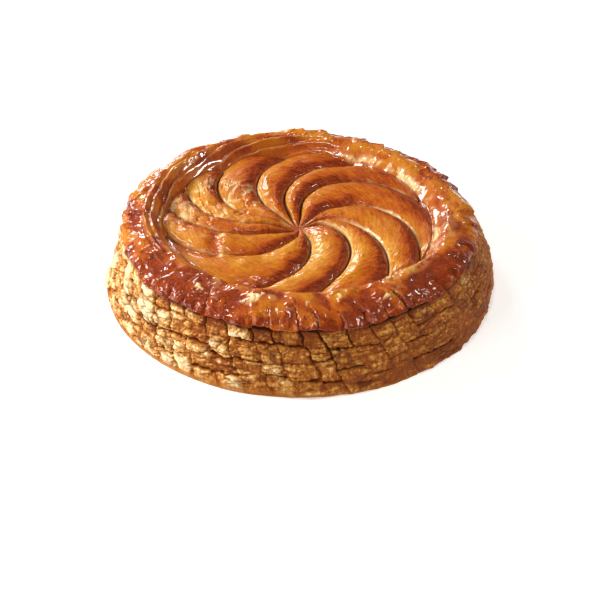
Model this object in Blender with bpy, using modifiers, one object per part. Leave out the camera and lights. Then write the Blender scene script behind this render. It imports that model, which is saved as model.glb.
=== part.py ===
"""A pithivier: a round puff-pastry pie with a glazed lid scored in a spiral and a notched, flaky side.

Metres, +Z up. The pie stands on z = 0 and is centred on the Z axis. It is one turned section whose
points are then moved: up and down on the lid, for the scored swirl and the rim, and in and out on
the side, for the stacked leaves of pastry and the knife notches.
"""
import math

import bpy
from mathutils import Vector, noise

NAME = "pithivier"

# Turned section, side: from the resting plane up to the gap under the lid's lip
BASE_RADIUS = 0.1146
WALL_TOP_RADIUS = 0.1026
WALL_HEIGHT = 0.0374
BULGE = 0.0022
BULGE_TO_THE_RIGHT = 0.0017
FOOT_INSET = 0.0010
FOOT_HEIGHT = 0.0009

# Turned section, rim of the lid
LIP_RADIUS = 0.1043
LIP_HEIGHT = 0.0391
LIP_UNDERCUT = 0.0009
CREST_RADIUS = 0.0885
CREST_HEIGHT = 0.0466
CREST_ROUNDNESS = 2.5
INNER_SLOPE_RINGS = 2
OUTER_SLOPE_RINGS = 5

# Turned section, scored disc inside the rim
DISC_RADIUS = 0.0770
DISC_EDGE_HEIGHT = 0.0393
PETAL_HEIGHT = 0.0412
DIMPLE_HEIGHT = 0.0362
DIMPLE_RADIUS = 0.0240
DISC_EDGE_FALL = 0.0180
DISC_RINGS = 13

# Scores of the lid: the bearing in degrees of each halfway out, how many degrees its inner and its
# outer end stray from the common curl, with the radius of the middle and how far off the ends are
SCORES = (
    (32.5, -10.0, -12.0), (77.5, -15.0, -8.0), (102.5, -12.0, 8.0), (130.0, -15.0, 12.0),
    (160.0, -21.0, 12.0), (177.5, -22.0, 18.0), (195.0, -12.0, 16.0), (230.0, -1.0, 2.0),
    (275.0, -9.0, 7.0), (315.0, 25.0, -4.0), (350.0, 5.0, 3.0),
)
STRAY_START = 0.0100
STRAY_MIDDLE = 0.0450
STRAY_REACH = 0.0300
SCORE_DEPTH = 0.0040
SCORE_START = 0.0160
SCORE_ROUNDNESS = 1.5
TURN_RADIUS = 0.0400
TURN_PER_METRE = 950.0
TURN_PER_CUBIC_METRE = 27000.0

# The rim's inner edge and crest lie further in at the front and further out at the back left
RIM_INWARD = 0.0085
RIM_INWARD_BEARING = 258.0
RIM_OUTWARD = 0.0030
RIM_OUTWARD_BEARING = 140.0
RIM_SHIFT_START = 0.0500

# Leaves of pastry on the side, as heights of the gaps between them, and the knife notches
GAP_HEIGHTS = (0.0374, 0.0286, 0.0193, 0.0101)
LOWEST_LEAF_BOTTOM = -0.0060
GAP_DEPTH = 0.0023
GAP_UNEVENNESS = 0.6
GAP_WAVE = 0.0017
GAP_WAVE_SCALE = 42.0
LEAF_SWELL = 0.0008
LEAF_ROWS = (0.20, 0.50, 0.80)
LEAF_EDGE_SHARE = 0.35
COLUMNS = 144
COLUMNS_PER_NOTCH = 3
NOTCH_DEPTH = 0.0021
NOTCH_IN_GAP = 0.35
NOTCH_SLANT = 6.5
LIP_NOTCH_DEPTH = 0.0010
LIP_NOTCH_DROP = 0.0005

# Unevenness of a hand-made pie: sizes of the bumps and how many fit in a metre
BLOCK_JITTER = 0.0011
BLOCK_SEED = 17.3
WOBBLE = 0.0009
WOBBLE_SCALE = 26.0
RIM_SAG = 0.0024
RIM_SAG_BEARING = 42.0
RIM_LUMP = 0.0009
RIM_LUMP_SCALE = 48.0
PETAL_LUMP = 0.0006
PETAL_LUMP_SCALE = 62.0

CRUST_COLOUR = (0.48, 0.20, 0.055, 1.0)
CRUST_ROUGHNESS = 0.42
SMOOTH_ANGLE = 50.0
MERGE_DISTANCE = 0.00001


def smooth_step(value):
    """Ease from 0 to 1 as value goes from 0 to 1, level at both ends."""
    value = min(max(value, 0.0), 1.0)
    return value * value * (3.0 - 2.0 * value)


def blend(start, end, share):
    """Go from start to end by share."""
    return start + (end - start) * share


def disc_height(radius):
    """Height of the petals' tops, dipping at the centre and towards the rim."""
    height = blend(DIMPLE_HEIGHT, PETAL_HEIGHT, smooth_step(radius / DIMPLE_RADIUS))
    edge = smooth_step((radius - DISC_RADIUS + DISC_EDGE_FALL) / DISC_EDGE_FALL)
    return height - (PETAL_HEIGHT - DISC_EDGE_HEIGHT) * edge


def rim_height(radius):
    """Height of the rim, rising from the disc to its crest and rounding over to the lip."""
    if radius < CREST_RADIUS:
        rise = smooth_step((radius - DISC_RADIUS) / (CREST_RADIUS - DISC_RADIUS))
        return blend(DISC_EDGE_HEIGHT, CREST_HEIGHT, rise)
    fall = ((radius - CREST_RADIUS) / (LIP_RADIUS - CREST_RADIUS)) ** CREST_ROUNDNESS
    return blend(CREST_HEIGHT, LIP_HEIGHT, fall)


def wall_radius(height):
    """Radius of the leaning side before it swells."""
    return blend(BASE_RADIUS, WALL_TOP_RADIUS, height / WALL_HEIGHT)


def section():
    """Points (radius, height) of the section, from the middle of the lid out and down to the foot."""
    points = [(0.0, disc_height(0.0))]
    for ring in range(1, DISC_RINGS + 1):
        radius = DISC_RADIUS * ring / DISC_RINGS
        points.append((radius, disc_height(radius)))
    for ring in range(1, INNER_SLOPE_RINGS + 1):
        radius = blend(DISC_RADIUS, CREST_RADIUS, ring / INNER_SLOPE_RINGS)
        points.append((radius, rim_height(radius)))
    for ring in range(1, OUTER_SLOPE_RINGS + 1):
        radius = blend(CREST_RADIUS, LIP_RADIUS, math.sin(0.5 * math.pi * ring / OUTER_SLOPE_RINGS))
        points.append((radius, rim_height(radius)))
    points.append((LIP_RADIUS - LIP_UNDERCUT, LIP_HEIGHT - LIP_UNDERCUT))
    for upper, lower in zip(GAP_HEIGHTS, GAP_HEIGHTS[1:] + (FOOT_HEIGHT,)):
        points.append((wall_radius(upper), upper))
        points += [(wall_radius(height), height)
                   for height in (blend(upper, lower, share) for share in LEAF_ROWS)]
    points += [(wall_radius(FOOT_HEIGHT), FOOT_HEIGHT), (BASE_RADIUS - FOOT_INSET, 0.0), (0.0, 0.0)]
    return points


def turn(radius):
    """Angle in degrees by which the lid's scores have curled at a radius."""
    radius = min(radius, DISC_RADIUS)
    curl = TURN_PER_METRE * (radius - TURN_RADIUS)
    return -curl - TURN_PER_CUBIC_METRE * (radius ** 3 - TURN_RADIUS ** 3)


def petal_at(bearing):
    """The scores before and after a bearing, and how far it lies between them, from 0 to 1."""
    laps = [(middle + lap, inner, outer) for lap in (-360.0, 0.0, 360.0) for middle, inner, outer in SCORES]
    before = max(score for score in laps if score[0] <= bearing)
    after = min(score for score in laps if score[0] > bearing)
    return before, after, (bearing - before[0]) / (after[0] - before[0])


def stray(bearing, radius):
    """Angle in degrees by which a point strays from the common curl with the scores beside it."""
    before, after, share = petal_at(bearing)
    out = (min(max(radius, STRAY_START), DISC_RADIUS) - STRAY_MIDDLE) / STRAY_REACH
    inner, outer = (blend(before[end], after[end], share) for end in (1, 2))
    fade = 1.0 - smooth_step((radius - DISC_RADIUS) / (LIP_RADIUS - DISC_RADIUS))
    return fade * 0.5 * out * (outer * (out + 1.0) + inner * (out - 1.0))


def score_relief(bearing, radius):
    """How far the lid is sunk below its petals' tops at a bearing and a radius."""
    share = petal_at(bearing)[2]
    crown = 1.0 - (1.0 - 4.0 * share * (1.0 - share)) ** SCORE_ROUNDNESS
    return SCORE_DEPTH * (1.0 - crown) * smooth_step(radius / SCORE_START)


def unevenness(place, scale, seed=0.0):
    """Smooth noise from -1 to 1 at a place on the pie."""
    return noise.noise(place * scale + Vector((seed, seed, seed)))


def rim_sag(angle):
    """How far the rim has sunk in the oven at an angle, most at one side."""
    return RIM_SAG * max(0.0, math.cos(angle - math.radians(RIM_SAG_BEARING))) ** 2


def rim_shift(angle, radius):
    """How far a point of the lid moves in with the rim's inner edge, which isn't quite centred."""
    inward = RIM_INWARD * max(0.0, math.cos(angle - math.radians(RIM_INWARD_BEARING)))
    outward = RIM_OUTWARD * max(0.0, math.cos(angle - math.radians(RIM_OUTWARD_BEARING)))
    rise = smooth_step((radius - RIM_SHIFT_START) / (DISC_RADIUS - RIM_SHIFT_START))
    fall = smooth_step((radius - CREST_RADIUS) / (LIP_RADIUS - CREST_RADIUS))
    return (inward - outward) * rise * (1.0 - fall)


def is_notch(column):
    """Whether a knife notch runs along a column of points."""
    return column % COLUMNS_PER_NOTCH == 0


def move_lid_point(column, radius, height):
    """New radius and height of a point of the lid, and its angle in degrees."""
    bearing = column * 360.0 / COLUMNS
    new_radius = radius - rim_shift(math.radians(bearing + turn(radius)), radius)
    angle = math.radians(bearing + turn(new_radius) + stray(bearing, new_radius))
    place = Vector((new_radius * math.cos(angle), new_radius * math.sin(angle), 0.0))
    on_rim = smooth_step((radius - DISC_RADIUS) / (CREST_RADIUS - DISC_RADIUS))
    at_lip = smooth_step((radius - CREST_RADIUS) / (LIP_RADIUS - CREST_RADIUS))
    height += on_rim * (WOBBLE * unevenness(place, WOBBLE_SCALE) + RIM_LUMP * unevenness(place, RIM_LUMP_SCALE))
    height -= on_rim * rim_sag(angle)
    height += (1.0 - on_rim) * PETAL_LUMP * unevenness(place, PETAL_LUMP_SCALE)
    height -= (1.0 - on_rim) * score_relief(bearing, radius)
    new_radius += at_lip * WOBBLE * unevenness(place, WOBBLE_SCALE, BLOCK_SEED)
    if is_notch(column):
        new_radius -= at_lip * LIP_NOTCH_DEPTH
        height -= at_lip * LIP_NOTCH_DROP
    return new_radius, height, angle


def leaf_of(height):
    """Number of the leaf of pastry that a height lies in, and the share of the way down it."""
    for number, (upper, lower) in enumerate(zip(GAP_HEIGHTS, GAP_HEIGHTS[1:] + (LOWEST_LEAF_BOTTOM,))):
        if height > lower + MERGE_DISTANCE:
            break
    return number, (upper - height) / (upper - lower)


def move_wall_point(column, radius, height):
    """New radius and height of a point of the side, and its angle in degrees."""
    up = height / WALL_HEIGHT
    angle = math.radians(column * 360.0 / COLUMNS + turn(LIP_RADIUS) + NOTCH_SLANT * (1.0 - up))
    place = Vector((LIP_RADIUS * math.cos(angle), LIP_RADIUS * math.sin(angle), 0.0))
    number, share = leaf_of(height)
    fullness = 4.0 * share * (1.0 - share)
    block = Vector((BLOCK_SEED * (column // COLUMNS_PER_NOTCH), BLOCK_SEED * number, BLOCK_SEED))
    radius += (BULGE + BULGE_TO_THE_RIGHT * math.cos(angle)) * 4.0 * up * (1.0 - up)
    radius += WOBBLE * unevenness(place, WOBBLE_SCALE, BLOCK_SEED)
    radius += LEAF_SWELL * fullness + BLOCK_JITTER * fullness * noise.cell(block)
    depth = GAP_DEPTH * (1.0 + GAP_UNEVENNESS * unevenness(place, GAP_WAVE_SCALE, number))
    radius -= depth * (1.0 - smooth_step(fullness / LEAF_EDGE_SHARE))
    if is_notch(column):
        radius -= NOTCH_DEPTH * blend(NOTCH_IN_GAP, 1.0, fullness)
    height += up * (WOBBLE * unevenness(place, WOBBLE_SCALE) - rim_sag(angle))
    place.z = height
    height += math.sin(math.pi * up) * GAP_WAVE * unevenness(place, GAP_WAVE_SCALE)
    return radius, height, angle


def shape_pie(mesh):
    """Move every point of the turned section to its place on the pie."""
    for vertex in mesh.vertices:
        radius = math.hypot(vertex.co.x, vertex.co.y)
        height = vertex.co.z
        column = round(math.degrees(math.atan2(vertex.co.y, vertex.co.x)) * COLUMNS / 360.0) % COLUMNS
        if radius < MERGE_DISTANCE:
            continue
        move = move_lid_point if height > WALL_HEIGHT + MERGE_DISTANCE else move_wall_point
        radius, height, angle = move(column, radius, height)
        vertex.co = (radius * math.cos(angle), radius * math.sin(angle), height)


def crust_material():
    """Golden-brown baked crust."""
    material = bpy.data.materials.new("baked_crust")
    material.use_nodes = True
    shader = material.node_tree.nodes["Principled BSDF"]
    shader.inputs["Base Color"].default_value = CRUST_COLOUR
    shader.inputs["Roughness"].default_value = CRUST_ROUGHNESS
    shader.inputs["Metallic"].default_value = 0.0
    return material


def build_pie(collection):
    """Turn the section, apply the turning and shape the points."""
    points = section()
    mesh = bpy.data.meshes.new(NAME)
    edges = [(index, index + 1) for index in range(len(points) - 1)]
    mesh.from_pydata([(radius, 0.0, height) for radius, height in points], edges, [])
    pie = bpy.data.objects.new(NAME, mesh)
    collection.objects.link(pie)

    screw = pie.modifiers.new("turn", "SCREW")
    screw.axis = "Z"
    screw.angle = math.tau
    screw.steps = COLUMNS
    screw.render_steps = COLUMNS
    screw.use_merge_vertices = True
    screw.merge_threshold = MERGE_DISTANCE

    bpy.context.view_layer.update()
    evaluated = pie.evaluated_get(bpy.context.evaluated_depsgraph_get())
    pie.data = bpy.data.meshes.new_from_object(evaluated)
    pie.data.name = NAME
    pie.modifiers.clear()

    shape_pie(pie.data)
    pie.data.materials.append(crust_material())
    pie.data.shade_smooth()
    pie.data.set_sharp_from_angle(angle=math.radians(SMOOTH_ANGLE))
    return pie


def main():
    """Clear the scene and build the pie in its own collection."""
    for item in list(bpy.data.objects):
        bpy.data.objects.remove(item)
    collection = bpy.data.collections.new(NAME)
    bpy.context.scene.collection.children.link(collection)
    build_pie(collection)


main()
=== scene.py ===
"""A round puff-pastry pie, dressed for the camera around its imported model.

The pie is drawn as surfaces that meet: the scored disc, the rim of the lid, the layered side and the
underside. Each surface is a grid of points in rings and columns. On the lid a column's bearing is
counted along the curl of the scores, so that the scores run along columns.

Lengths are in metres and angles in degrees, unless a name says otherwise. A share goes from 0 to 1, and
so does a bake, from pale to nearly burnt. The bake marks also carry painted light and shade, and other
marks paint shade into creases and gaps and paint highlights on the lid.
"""
from __future__ import annotations

import logging
import math
from dataclasses import dataclass
from enum import Enum, IntEnum
from typing import Mapping, Sequence, Union

import bpy
import numpy as np
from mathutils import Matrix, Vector, noise

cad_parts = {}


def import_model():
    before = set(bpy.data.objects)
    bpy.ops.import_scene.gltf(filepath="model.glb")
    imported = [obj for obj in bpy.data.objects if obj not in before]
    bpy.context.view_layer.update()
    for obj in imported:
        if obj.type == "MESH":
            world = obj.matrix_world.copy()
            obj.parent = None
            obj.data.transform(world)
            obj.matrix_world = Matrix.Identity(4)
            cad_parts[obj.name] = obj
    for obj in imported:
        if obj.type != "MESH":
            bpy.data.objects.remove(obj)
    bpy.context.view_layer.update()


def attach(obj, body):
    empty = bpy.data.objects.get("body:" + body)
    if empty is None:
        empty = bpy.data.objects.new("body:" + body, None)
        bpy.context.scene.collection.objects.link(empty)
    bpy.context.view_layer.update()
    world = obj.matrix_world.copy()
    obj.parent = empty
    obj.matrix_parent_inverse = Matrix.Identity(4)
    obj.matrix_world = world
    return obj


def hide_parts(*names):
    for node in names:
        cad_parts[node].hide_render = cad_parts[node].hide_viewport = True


LOG = logging.getLogger("pithivier")
NODE = "pithivier"
BODY = "root"
MM = 0.001
HASH_FACTORS = (374761393, 668265263, 1274126177, 974711)
HASH_SHIFTS = (13, 9, 16)
HASH_MASK = 0x7FFFFFFF
HASH_LOW_BITS = 7
HASH_TOP = 0xFFFF
FINER = 2.03
WEAKER = 0.5
LID_RELIEF = 11
LID_TINT = 31
SIDE_RELIEF = 71
SIDE_TINT = 83
SIDE_CHIPS = 97
UNDERSIDE_RELIEF = 61

Colour = tuple[float, float, float]
Value = Union[float, "Wire"]


def held(value: np.ndarray, low: float = 0.0, high: float = 1.0) -> np.ndarray:
    """Keep a value between low and high."""
    return np.clip(value, low, high)


def smooth_step(value: np.ndarray) -> np.ndarray:
    """Ease from 0 to 1 as value goes from 0 to 1, level at both ends."""
    share = held(value)
    return share * share * (3.0 - 2.0 * share)


def blend(start: np.ndarray, end: np.ndarray, share: np.ndarray) -> np.ndarray:
    """Go from start to end by share."""
    return start + (end - start) * share


def hump(distance: np.ndarray, width: float) -> np.ndarray:
    """A bell of height 1 at distance 0 that has faded at twice its width."""
    return np.exp(-((distance / width) ** 2))


def crown_share(share: np.ndarray) -> np.ndarray:
    """How near the middle a share lies, from 0 at both ends to 1."""
    return 4.0 * share * (1.0 - share)


def cosine(angle: np.ndarray, bearing: float = 0.0) -> np.ndarray:
    """How squarely an angle faces a bearing, from -1 to 1."""
    return np.cos(np.radians(angle - bearing))


@dataclass(frozen=True)
class Rise:
    """A share that rises from 0 at start to 1 a span further on; a negative span makes it fall to start."""

    start: float
    span: float

    def at(self, value: np.ndarray) -> np.ndarray:
        """The share at a value."""
        return smooth_step((value - self.start) / self.span)


@dataclass(frozen=True)
class Facing:
    """A share that is full round a bearing and fades away from it, the later the higher its lead."""

    bearing: float
    lead: float = 0.0
    gain: float = 1.0

    def at(self, angle: np.ndarray) -> np.ndarray:
        """The share at an angle."""
        return smooth_step(self.lead + self.gain * cosine(angle, self.bearing))


@dataclass(frozen=True)
class Dice:
    """Repeatable random numbers, each set with a seed of its own."""

    seed: int

    def pick(self, a: np.ndarray, b: np.ndarray = 0, c: np.ndarray = 0) -> np.ndarray:
        """Give a number from 0 to 1 for each triple of whole numbers.

        Args:
            a: First whole numbers.
            b: Second whole numbers.
            c: Third whole numbers.

        Returns:
            One repeatable random number for each triple.
        """
        mixed = self.seed * HASH_FACTORS[3]
        for part, factor in zip((a, b, c), HASH_FACTORS):
            mixed = mixed + np.asarray(part).astype(np.int64) * factor
        mixed = mixed & HASH_MASK
        for shift in HASH_SHIFTS:
            mixed = ((mixed ^ (mixed >> shift)) * HASH_FACTORS[2]) & HASH_MASK
        return (mixed >> HASH_LOW_BITS & HASH_TOP) / HASH_TOP


class Draw(IntEnum):
    """What a random number is drawn for, so that draws for the same block differ."""

    LEAF_BAKE = 1
    NOTCH_START = 3
    TAB_OUT = 5
    TAB_DROP = 9
    NOTCH_DEPTH = 21
    GAP_DEPTH = 22
    TILT_ACROSS = 31
    TILT_ALONG = 32
    LAYER_PITCH = 51


@dataclass(frozen=True)
class Noise(Dice):
    """Smooth noise with so many bumps in a metre, in layers that are ever finer and weaker."""

    per_metre: float
    layers: int = 1

    def bumps(self, points: np.ndarray) -> np.ndarray:
        """Give the first layer, from -1 to 1.

        Args:
            points: Array whose last axis holds x, y and z.

        Returns:
            One value for each point.
        """
        scaled = points * self.per_metre
        cell = np.floor(scaled).astype(np.int64)
        share = smooth_step(scaled - cell)
        total = np.zeros(points.shape[:-1])
        for corner in np.ndindex(2, 2, 2):
            weight = np.ones(points.shape[:-1])
            for axis, side in enumerate(corner):
                weight = weight * (share[..., axis] if side else 1.0 - share[..., axis])
            total += weight * self.pick(*(cell[..., axis] + side for axis, side in enumerate(corner)))
        return 2.0 * total - 1.0

    def at(self, points: np.ndarray) -> np.ndarray:
        """Add up the layers at points whose last axis holds x, y and z, from about -1 to 1.

        Args:
            points: Array whose last axis holds x, y and z.

        Returns:
            One value for each point.
        """
        total = np.zeros(points.shape[:-1])
        for layer in range(self.layers):
            finer = Noise(self.seed + layer, self.per_metre * FINER ** layer)
            total += finer.bumps(points) * WEAKER ** layer
        return total


@dataclass(frozen=True)
class Cells(Dice):
    """Uneven cells, so many to a metre."""

    per_metre: float

    def at(self, points: np.ndarray) -> tuple[np.ndarray, np.ndarray]:
        """Break points up into the cells.

        Args:
            points: Array whose last axis holds x, y and z.

        Returns:
            How far each point is from its cell's edge, in cells, and a number from 0 to 1 for its cell.
        """
        scaled = points * self.per_metre
        cell = np.floor(scaled).astype(np.int64)
        nearest = np.full(points.shape[:-1], np.inf)
        second = np.full(points.shape[:-1], np.inf)
        kind = np.zeros(points.shape[:-1])
        for step in np.ndindex(3, 3, 3):
            place = [cell[..., axis] + step[axis] - 1 for axis in range(3)]
            gap = np.zeros(points.shape[:-1])
            for axis in range(3):
                seat = place[axis] + Dice(self.seed + axis + 1).pick(*place)
                gap += (seat - scaled[..., axis]) ** 2
            gap = np.sqrt(gap)
            closer = gap < nearest
            second = np.where(closer, nearest, np.minimum(second, gap))
            kind = np.where(closer, self.pick(*place), kind)
            nearest = np.where(closer, gap, nearest)
        return second - nearest, kind


def solid_noise(points: np.ndarray, per_metre: float, seed: float = 0.0) -> np.ndarray:
    """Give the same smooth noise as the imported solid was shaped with.

    Args:
        points: Array whose last axis holds x, y and z.
        per_metre: How many bumps fit in a metre.
        seed: Shift of the noise along all three axes.

    Returns:
        One value from -1 to 1 for each point.
    """
    scaled = (points * per_metre + seed).reshape(-1, 3).tolist()
    values = np.fromiter((noise.noise(place) for place in scaled), float, len(scaled))
    return values.reshape(points.shape[:-1])


@dataclass(frozen=True)
class PieForm:
    """Driving sizes of the pie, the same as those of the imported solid."""

    base_radius: float = 114.6 * MM
    wall_top_radius: float = 102.6 * MM
    wall_height: float = 37.4 * MM
    bulge: float = 2.2 * MM
    bulge_to_the_right: float = 1.7 * MM
    lip_radius: float = 104.3 * MM
    lip_height: float = 39.1 * MM
    crest_radius: float = 88.5 * MM
    crest_height: float = 46.6 * MM
    crest_roundness: float = 2.5
    disc_radius: float = 77.0 * MM
    disc_edge_height: float = 39.3 * MM
    petal_height: float = 41.2 * MM
    dimple_height: float = 36.2 * MM
    dimple_radius: float = 24.0 * MM
    disc_edge_fall: float = 18.0 * MM
    scores: tuple[tuple[float, float, float], ...] = (
        (32.5, -10.0, -12.0), (77.5, -15.0, -8.0), (102.5, -12.0, 8.0), (130.0, -15.0, 12.0),
        (160.0, -21.0, 12.0), (177.5, -22.0, 18.0), (195.0, -12.0, 16.0), (230.0, -1.0, 2.0),
        (275.0, -9.0, 7.0), (315.0, 25.0, -4.0), (350.0, 5.0, 3.0),
    )
    stray_start: float = 10.0 * MM
    stray_middle: float = 45.0 * MM
    stray_reach: float = 30.0 * MM
    rim_inward: float = 8.5 * MM
    rim_inward_bearing: float = 258.0
    rim_outward: float = 3.0 * MM
    rim_outward_bearing: float = 140.0
    rim_shift_start: float = 50.0 * MM
    score_depth: float = 4.0 * MM
    score_start: float = 16.0 * MM
    score_roundness: float = 1.5
    turn_radius: float = 40.0 * MM
    turn_per_metre: float = 950.0
    turn_per_cubic_metre: float = 27000.0
    notch_count: int = 48
    notch_slant: float = 6.5
    gaps: tuple[float, ...] = (37.4 * MM, 28.6 * MM, 19.3 * MM, 10.1 * MM)
    lowest_leaf_bottom: float = -6.0 * MM
    wobble: float = 0.9 * MM
    wobble_scale: float = 26.0
    wobble_seed: float = 17.3
    wobble_step: float = 0.5
    rim_sag: float = 2.4 * MM
    rim_sag_bearing: float = 42.0
    rim_lump: float = 0.9 * MM
    rim_lump_scale: float = 48.0
    petal_lump: float = 0.6 * MM
    petal_lump_scale: float = 62.0

    def turn(self, radius: np.ndarray) -> np.ndarray:
        """Angle by which the scores have curled at a radius.

        Args:
            radius: Radius of every point.

        Returns:
            The angle at each radius.
        """
        inside = np.minimum(radius, self.disc_radius)
        curl = self.turn_per_metre * (inside - self.turn_radius)
        return -curl - self.turn_per_cubic_metre * (inside ** 3 - self.turn_radius ** 3)

    def stray(self, inner: np.ndarray, outer: np.ndarray, radius: np.ndarray) -> np.ndarray:
        """Angle by which points stray from the common curl with the scores beside them.

        Args:
            inner: Stray of the scores' inner ends, in degrees.
            outer: Stray of their outer ends.
            radius: Radius of the points.

        Returns:
            The stray at each point, in degrees.
        """
        out = (held(radius, self.stray_start, self.disc_radius) - self.stray_middle) / self.stray_reach
        fade = Rise(self.lip_radius, self.disc_radius - self.lip_radius).at(radius)
        return fade * 0.5 * out * (outer * (out + 1.0) + inner * (out - 1.0))

    def rim_shift(self, angle: np.ndarray, radius: np.ndarray) -> np.ndarray:
        """How far a point of the lid moves in with the rim's inner edge, which isn't quite centred.

        Args:
            angle: Angle of every point.
            radius: Radius of every point.

        Returns:
            The inward shift of each point.
        """
        inward = self.rim_inward * held(cosine(angle, self.rim_inward_bearing))
        outward = self.rim_outward * held(cosine(angle, self.rim_outward_bearing))
        rise = Rise(self.rim_shift_start, self.disc_radius - self.rim_shift_start).at(radius)
        fall = Rise(self.lip_radius, self.crest_radius - self.lip_radius).at(radius)
        return (inward - outward) * rise * fall

    def lid_height(self, radius: np.ndarray) -> np.ndarray:
        """Height of the lid: the petals' tops with the dimple, and the rim with its crest and lip.

        Args:
            radius: Radius of every point.

        Returns:
            The height at each radius.
        """
        petals = blend(self.dimple_height, self.petal_height, smooth_step(radius / self.dimple_radius))
        edge = Rise(self.disc_radius - self.disc_edge_fall, self.disc_edge_fall).at(radius)
        petals = petals - (self.petal_height - self.disc_edge_height) * edge
        rise = Rise(self.disc_radius, self.crest_radius - self.disc_radius).at(radius)
        inner = blend(self.disc_edge_height, self.crest_height, rise)
        out = held((radius - self.crest_radius) / (self.lip_radius - self.crest_radius))
        outer = blend(self.crest_height, self.lip_height, out ** self.crest_roundness)
        rim = np.where(radius < self.crest_radius, inner, outer)
        return np.where(radius < self.disc_radius, petals, rim)

    def wall_radius(self, angle: np.ndarray, height: np.ndarray) -> np.ndarray:
        """Radius of the leaning, swollen side.

        Args:
            angle: Angle of every point.
            height: Height of every point.

        Returns:
            The radius of each point.
        """
        up = height / self.wall_height
        bulge = self.bulge + self.bulge_to_the_right * cosine(angle)
        return blend(self.base_radius, self.wall_top_radius, up) + bulge * crown_share(up)

    def sag(self, angle: np.ndarray) -> np.ndarray:
        """How far the rim has sunk at an angle, most at one side."""
        return self.rim_sag * held(cosine(angle, self.rim_sag_bearing)) ** 2

    def place(self, radius: np.ndarray, angle: np.ndarray, height: np.ndarray) -> np.ndarray:
        """Points at a radius, an angle and a height.

        Args:
            radius: Radius of every point.
            angle: Angle of every point.
            height: Height of every point.

        Returns:
            Array whose last axis holds x, y and z.
        """
        turned = np.radians(angle)
        parts = np.broadcast_arrays(radius * np.cos(turned), radius * np.sin(turned), height)
        return np.stack(parts, axis=-1)

    def wobbles(self, angle: np.ndarray) -> tuple[np.ndarray, np.ndarray]:
        """Rise and outward shift of the lip all round, read from a ring of the solid's own noise.

        Args:
            angle: Angles at which to read.

        Returns:
            The rise and the outward shift.
        """
        ring = np.arange(0.0, 360.0, self.wobble_step)
        spots = self.place(self.lip_radius, ring, 0.0)
        rise = self.wobble * solid_noise(spots, self.wobble_scale)
        shift = self.wobble * solid_noise(spots, self.wobble_scale, self.wobble_seed)
        return np.interp(angle, ring, rise, period=360.0), np.interp(angle, ring, shift, period=360.0)


@dataclass
class Sheet:
    """A grid of points in rings and columns, closed round the pie, with values for its finish."""

    name: str
    points: np.ndarray
    marks: Mapping[str, np.ndarray]
    flat: np.ndarray

    def squares(self, grid: np.ndarray) -> np.ndarray:
        """What the grid holds at the four corners of the squares between its rings."""
        beside = np.roll(grid, -1, axis=1)
        return np.stack([grid[:-1], grid[1:], beside[1:], beside[:-1]], axis=2)

    def seam_free(self) -> np.ndarray:
        """Flat places of the squares' corners, for the baked finish.

        Returns:
            One flat place for each corner.
        """
        corners = self.squares(self.flat)
        across = corners[..., 0]
        wraps = across.max(axis=2) - across.min(axis=2) > 0.5
        corners[..., 0] = across + (wraps[..., None] & (across < 0.5))
        return corners.reshape(-1, 2)

    def build(self) -> bpy.types.Object:
        """Make the mesh object.

        Returns:
            The new object, linked to the scene.
        """
        rings, columns = self.points.shape[:2]
        corners = self.squares(np.arange(rings * columns).reshape(rings, columns)).reshape(-1, 4)
        mesh = bpy.data.meshes.new(self.name)
        mesh.vertices.add(rings * columns)
        mesh.vertices.foreach_set("co", self.points.astype(np.float32).ravel())
        mesh.loops.add(corners.size)
        mesh.loops.foreach_set("vertex_index", corners.astype(np.int32).ravel())
        mesh.polygons.add(len(corners))
        mesh.polygons.foreach_set("loop_start", np.arange(0, corners.size, 4, dtype=np.int32))
        mesh.update(calc_edges=True)
        layer = mesh.uv_layers.new(name="OFBake")
        layer.data.foreach_set("uv", self.seam_free().astype(np.float32).ravel())
        for label, values in self.marks.items():
            mark = mesh.attributes.new(label, "FLOAT", "POINT")
            values = np.broadcast_to(values, (rings, columns))
            mark.data.foreach_set("value", values.astype(np.float32).ravel())
        mesh.shade_smooth()
        mesh.validate()
        piece = bpy.data.objects.new(self.name, mesh)
        bpy.context.scene.collection.objects.link(piece)
        return piece


class Wire:
    """One value inside a finish, which can be used in sums."""

    def __init__(self, finish: "Recipe", socket: bpy.types.NodeSocket) -> None:
        """Keep the socket and the recipe it belongs to."""
        self.finish = finish
        self.socket = socket

    def _join(self, operation: str, left: Value, right: Value) -> "Wire":
        """Add a Math node of two values."""
        return self.finish.node("ShaderNodeMath", {"operation": operation}, {0: left, 1: right})

    def __add__(self, other: Value) -> "Wire":
        """Sum."""
        return self._join("ADD", self, other)

    def __radd__(self, other: Value) -> "Wire":
        """Sum with a number first."""
        return self._join("ADD", other, self)

    def __sub__(self, other: Value) -> "Wire":
        """Difference."""
        return self._join("SUBTRACT", self, other)

    def __rsub__(self, other: Value) -> "Wire":
        """Difference from a number."""
        return self._join("SUBTRACT", other, self)

    def __mul__(self, other: Value) -> "Wire":
        """Product."""
        return self._join("MULTIPLY", self, other)

    def __rmul__(self, other: Value) -> "Wire":
        """Product with a number first."""
        return self._join("MULTIPLY", other, self)

    def held(self) -> "Wire":
        """The value kept between 0 and 1."""
        return self.finish.node("ShaderNodeClamp", {}, {"Value": self})


@dataclass(frozen=True)
class Speckle:
    """Fine noise of a finish: bumps in a metre, layers, the layers' strength, and a range to spread."""

    per_metre: float
    detail: float = 3.0
    roughness: float = 0.6
    low: float = 0.0
    high: float = 1.0


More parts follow.
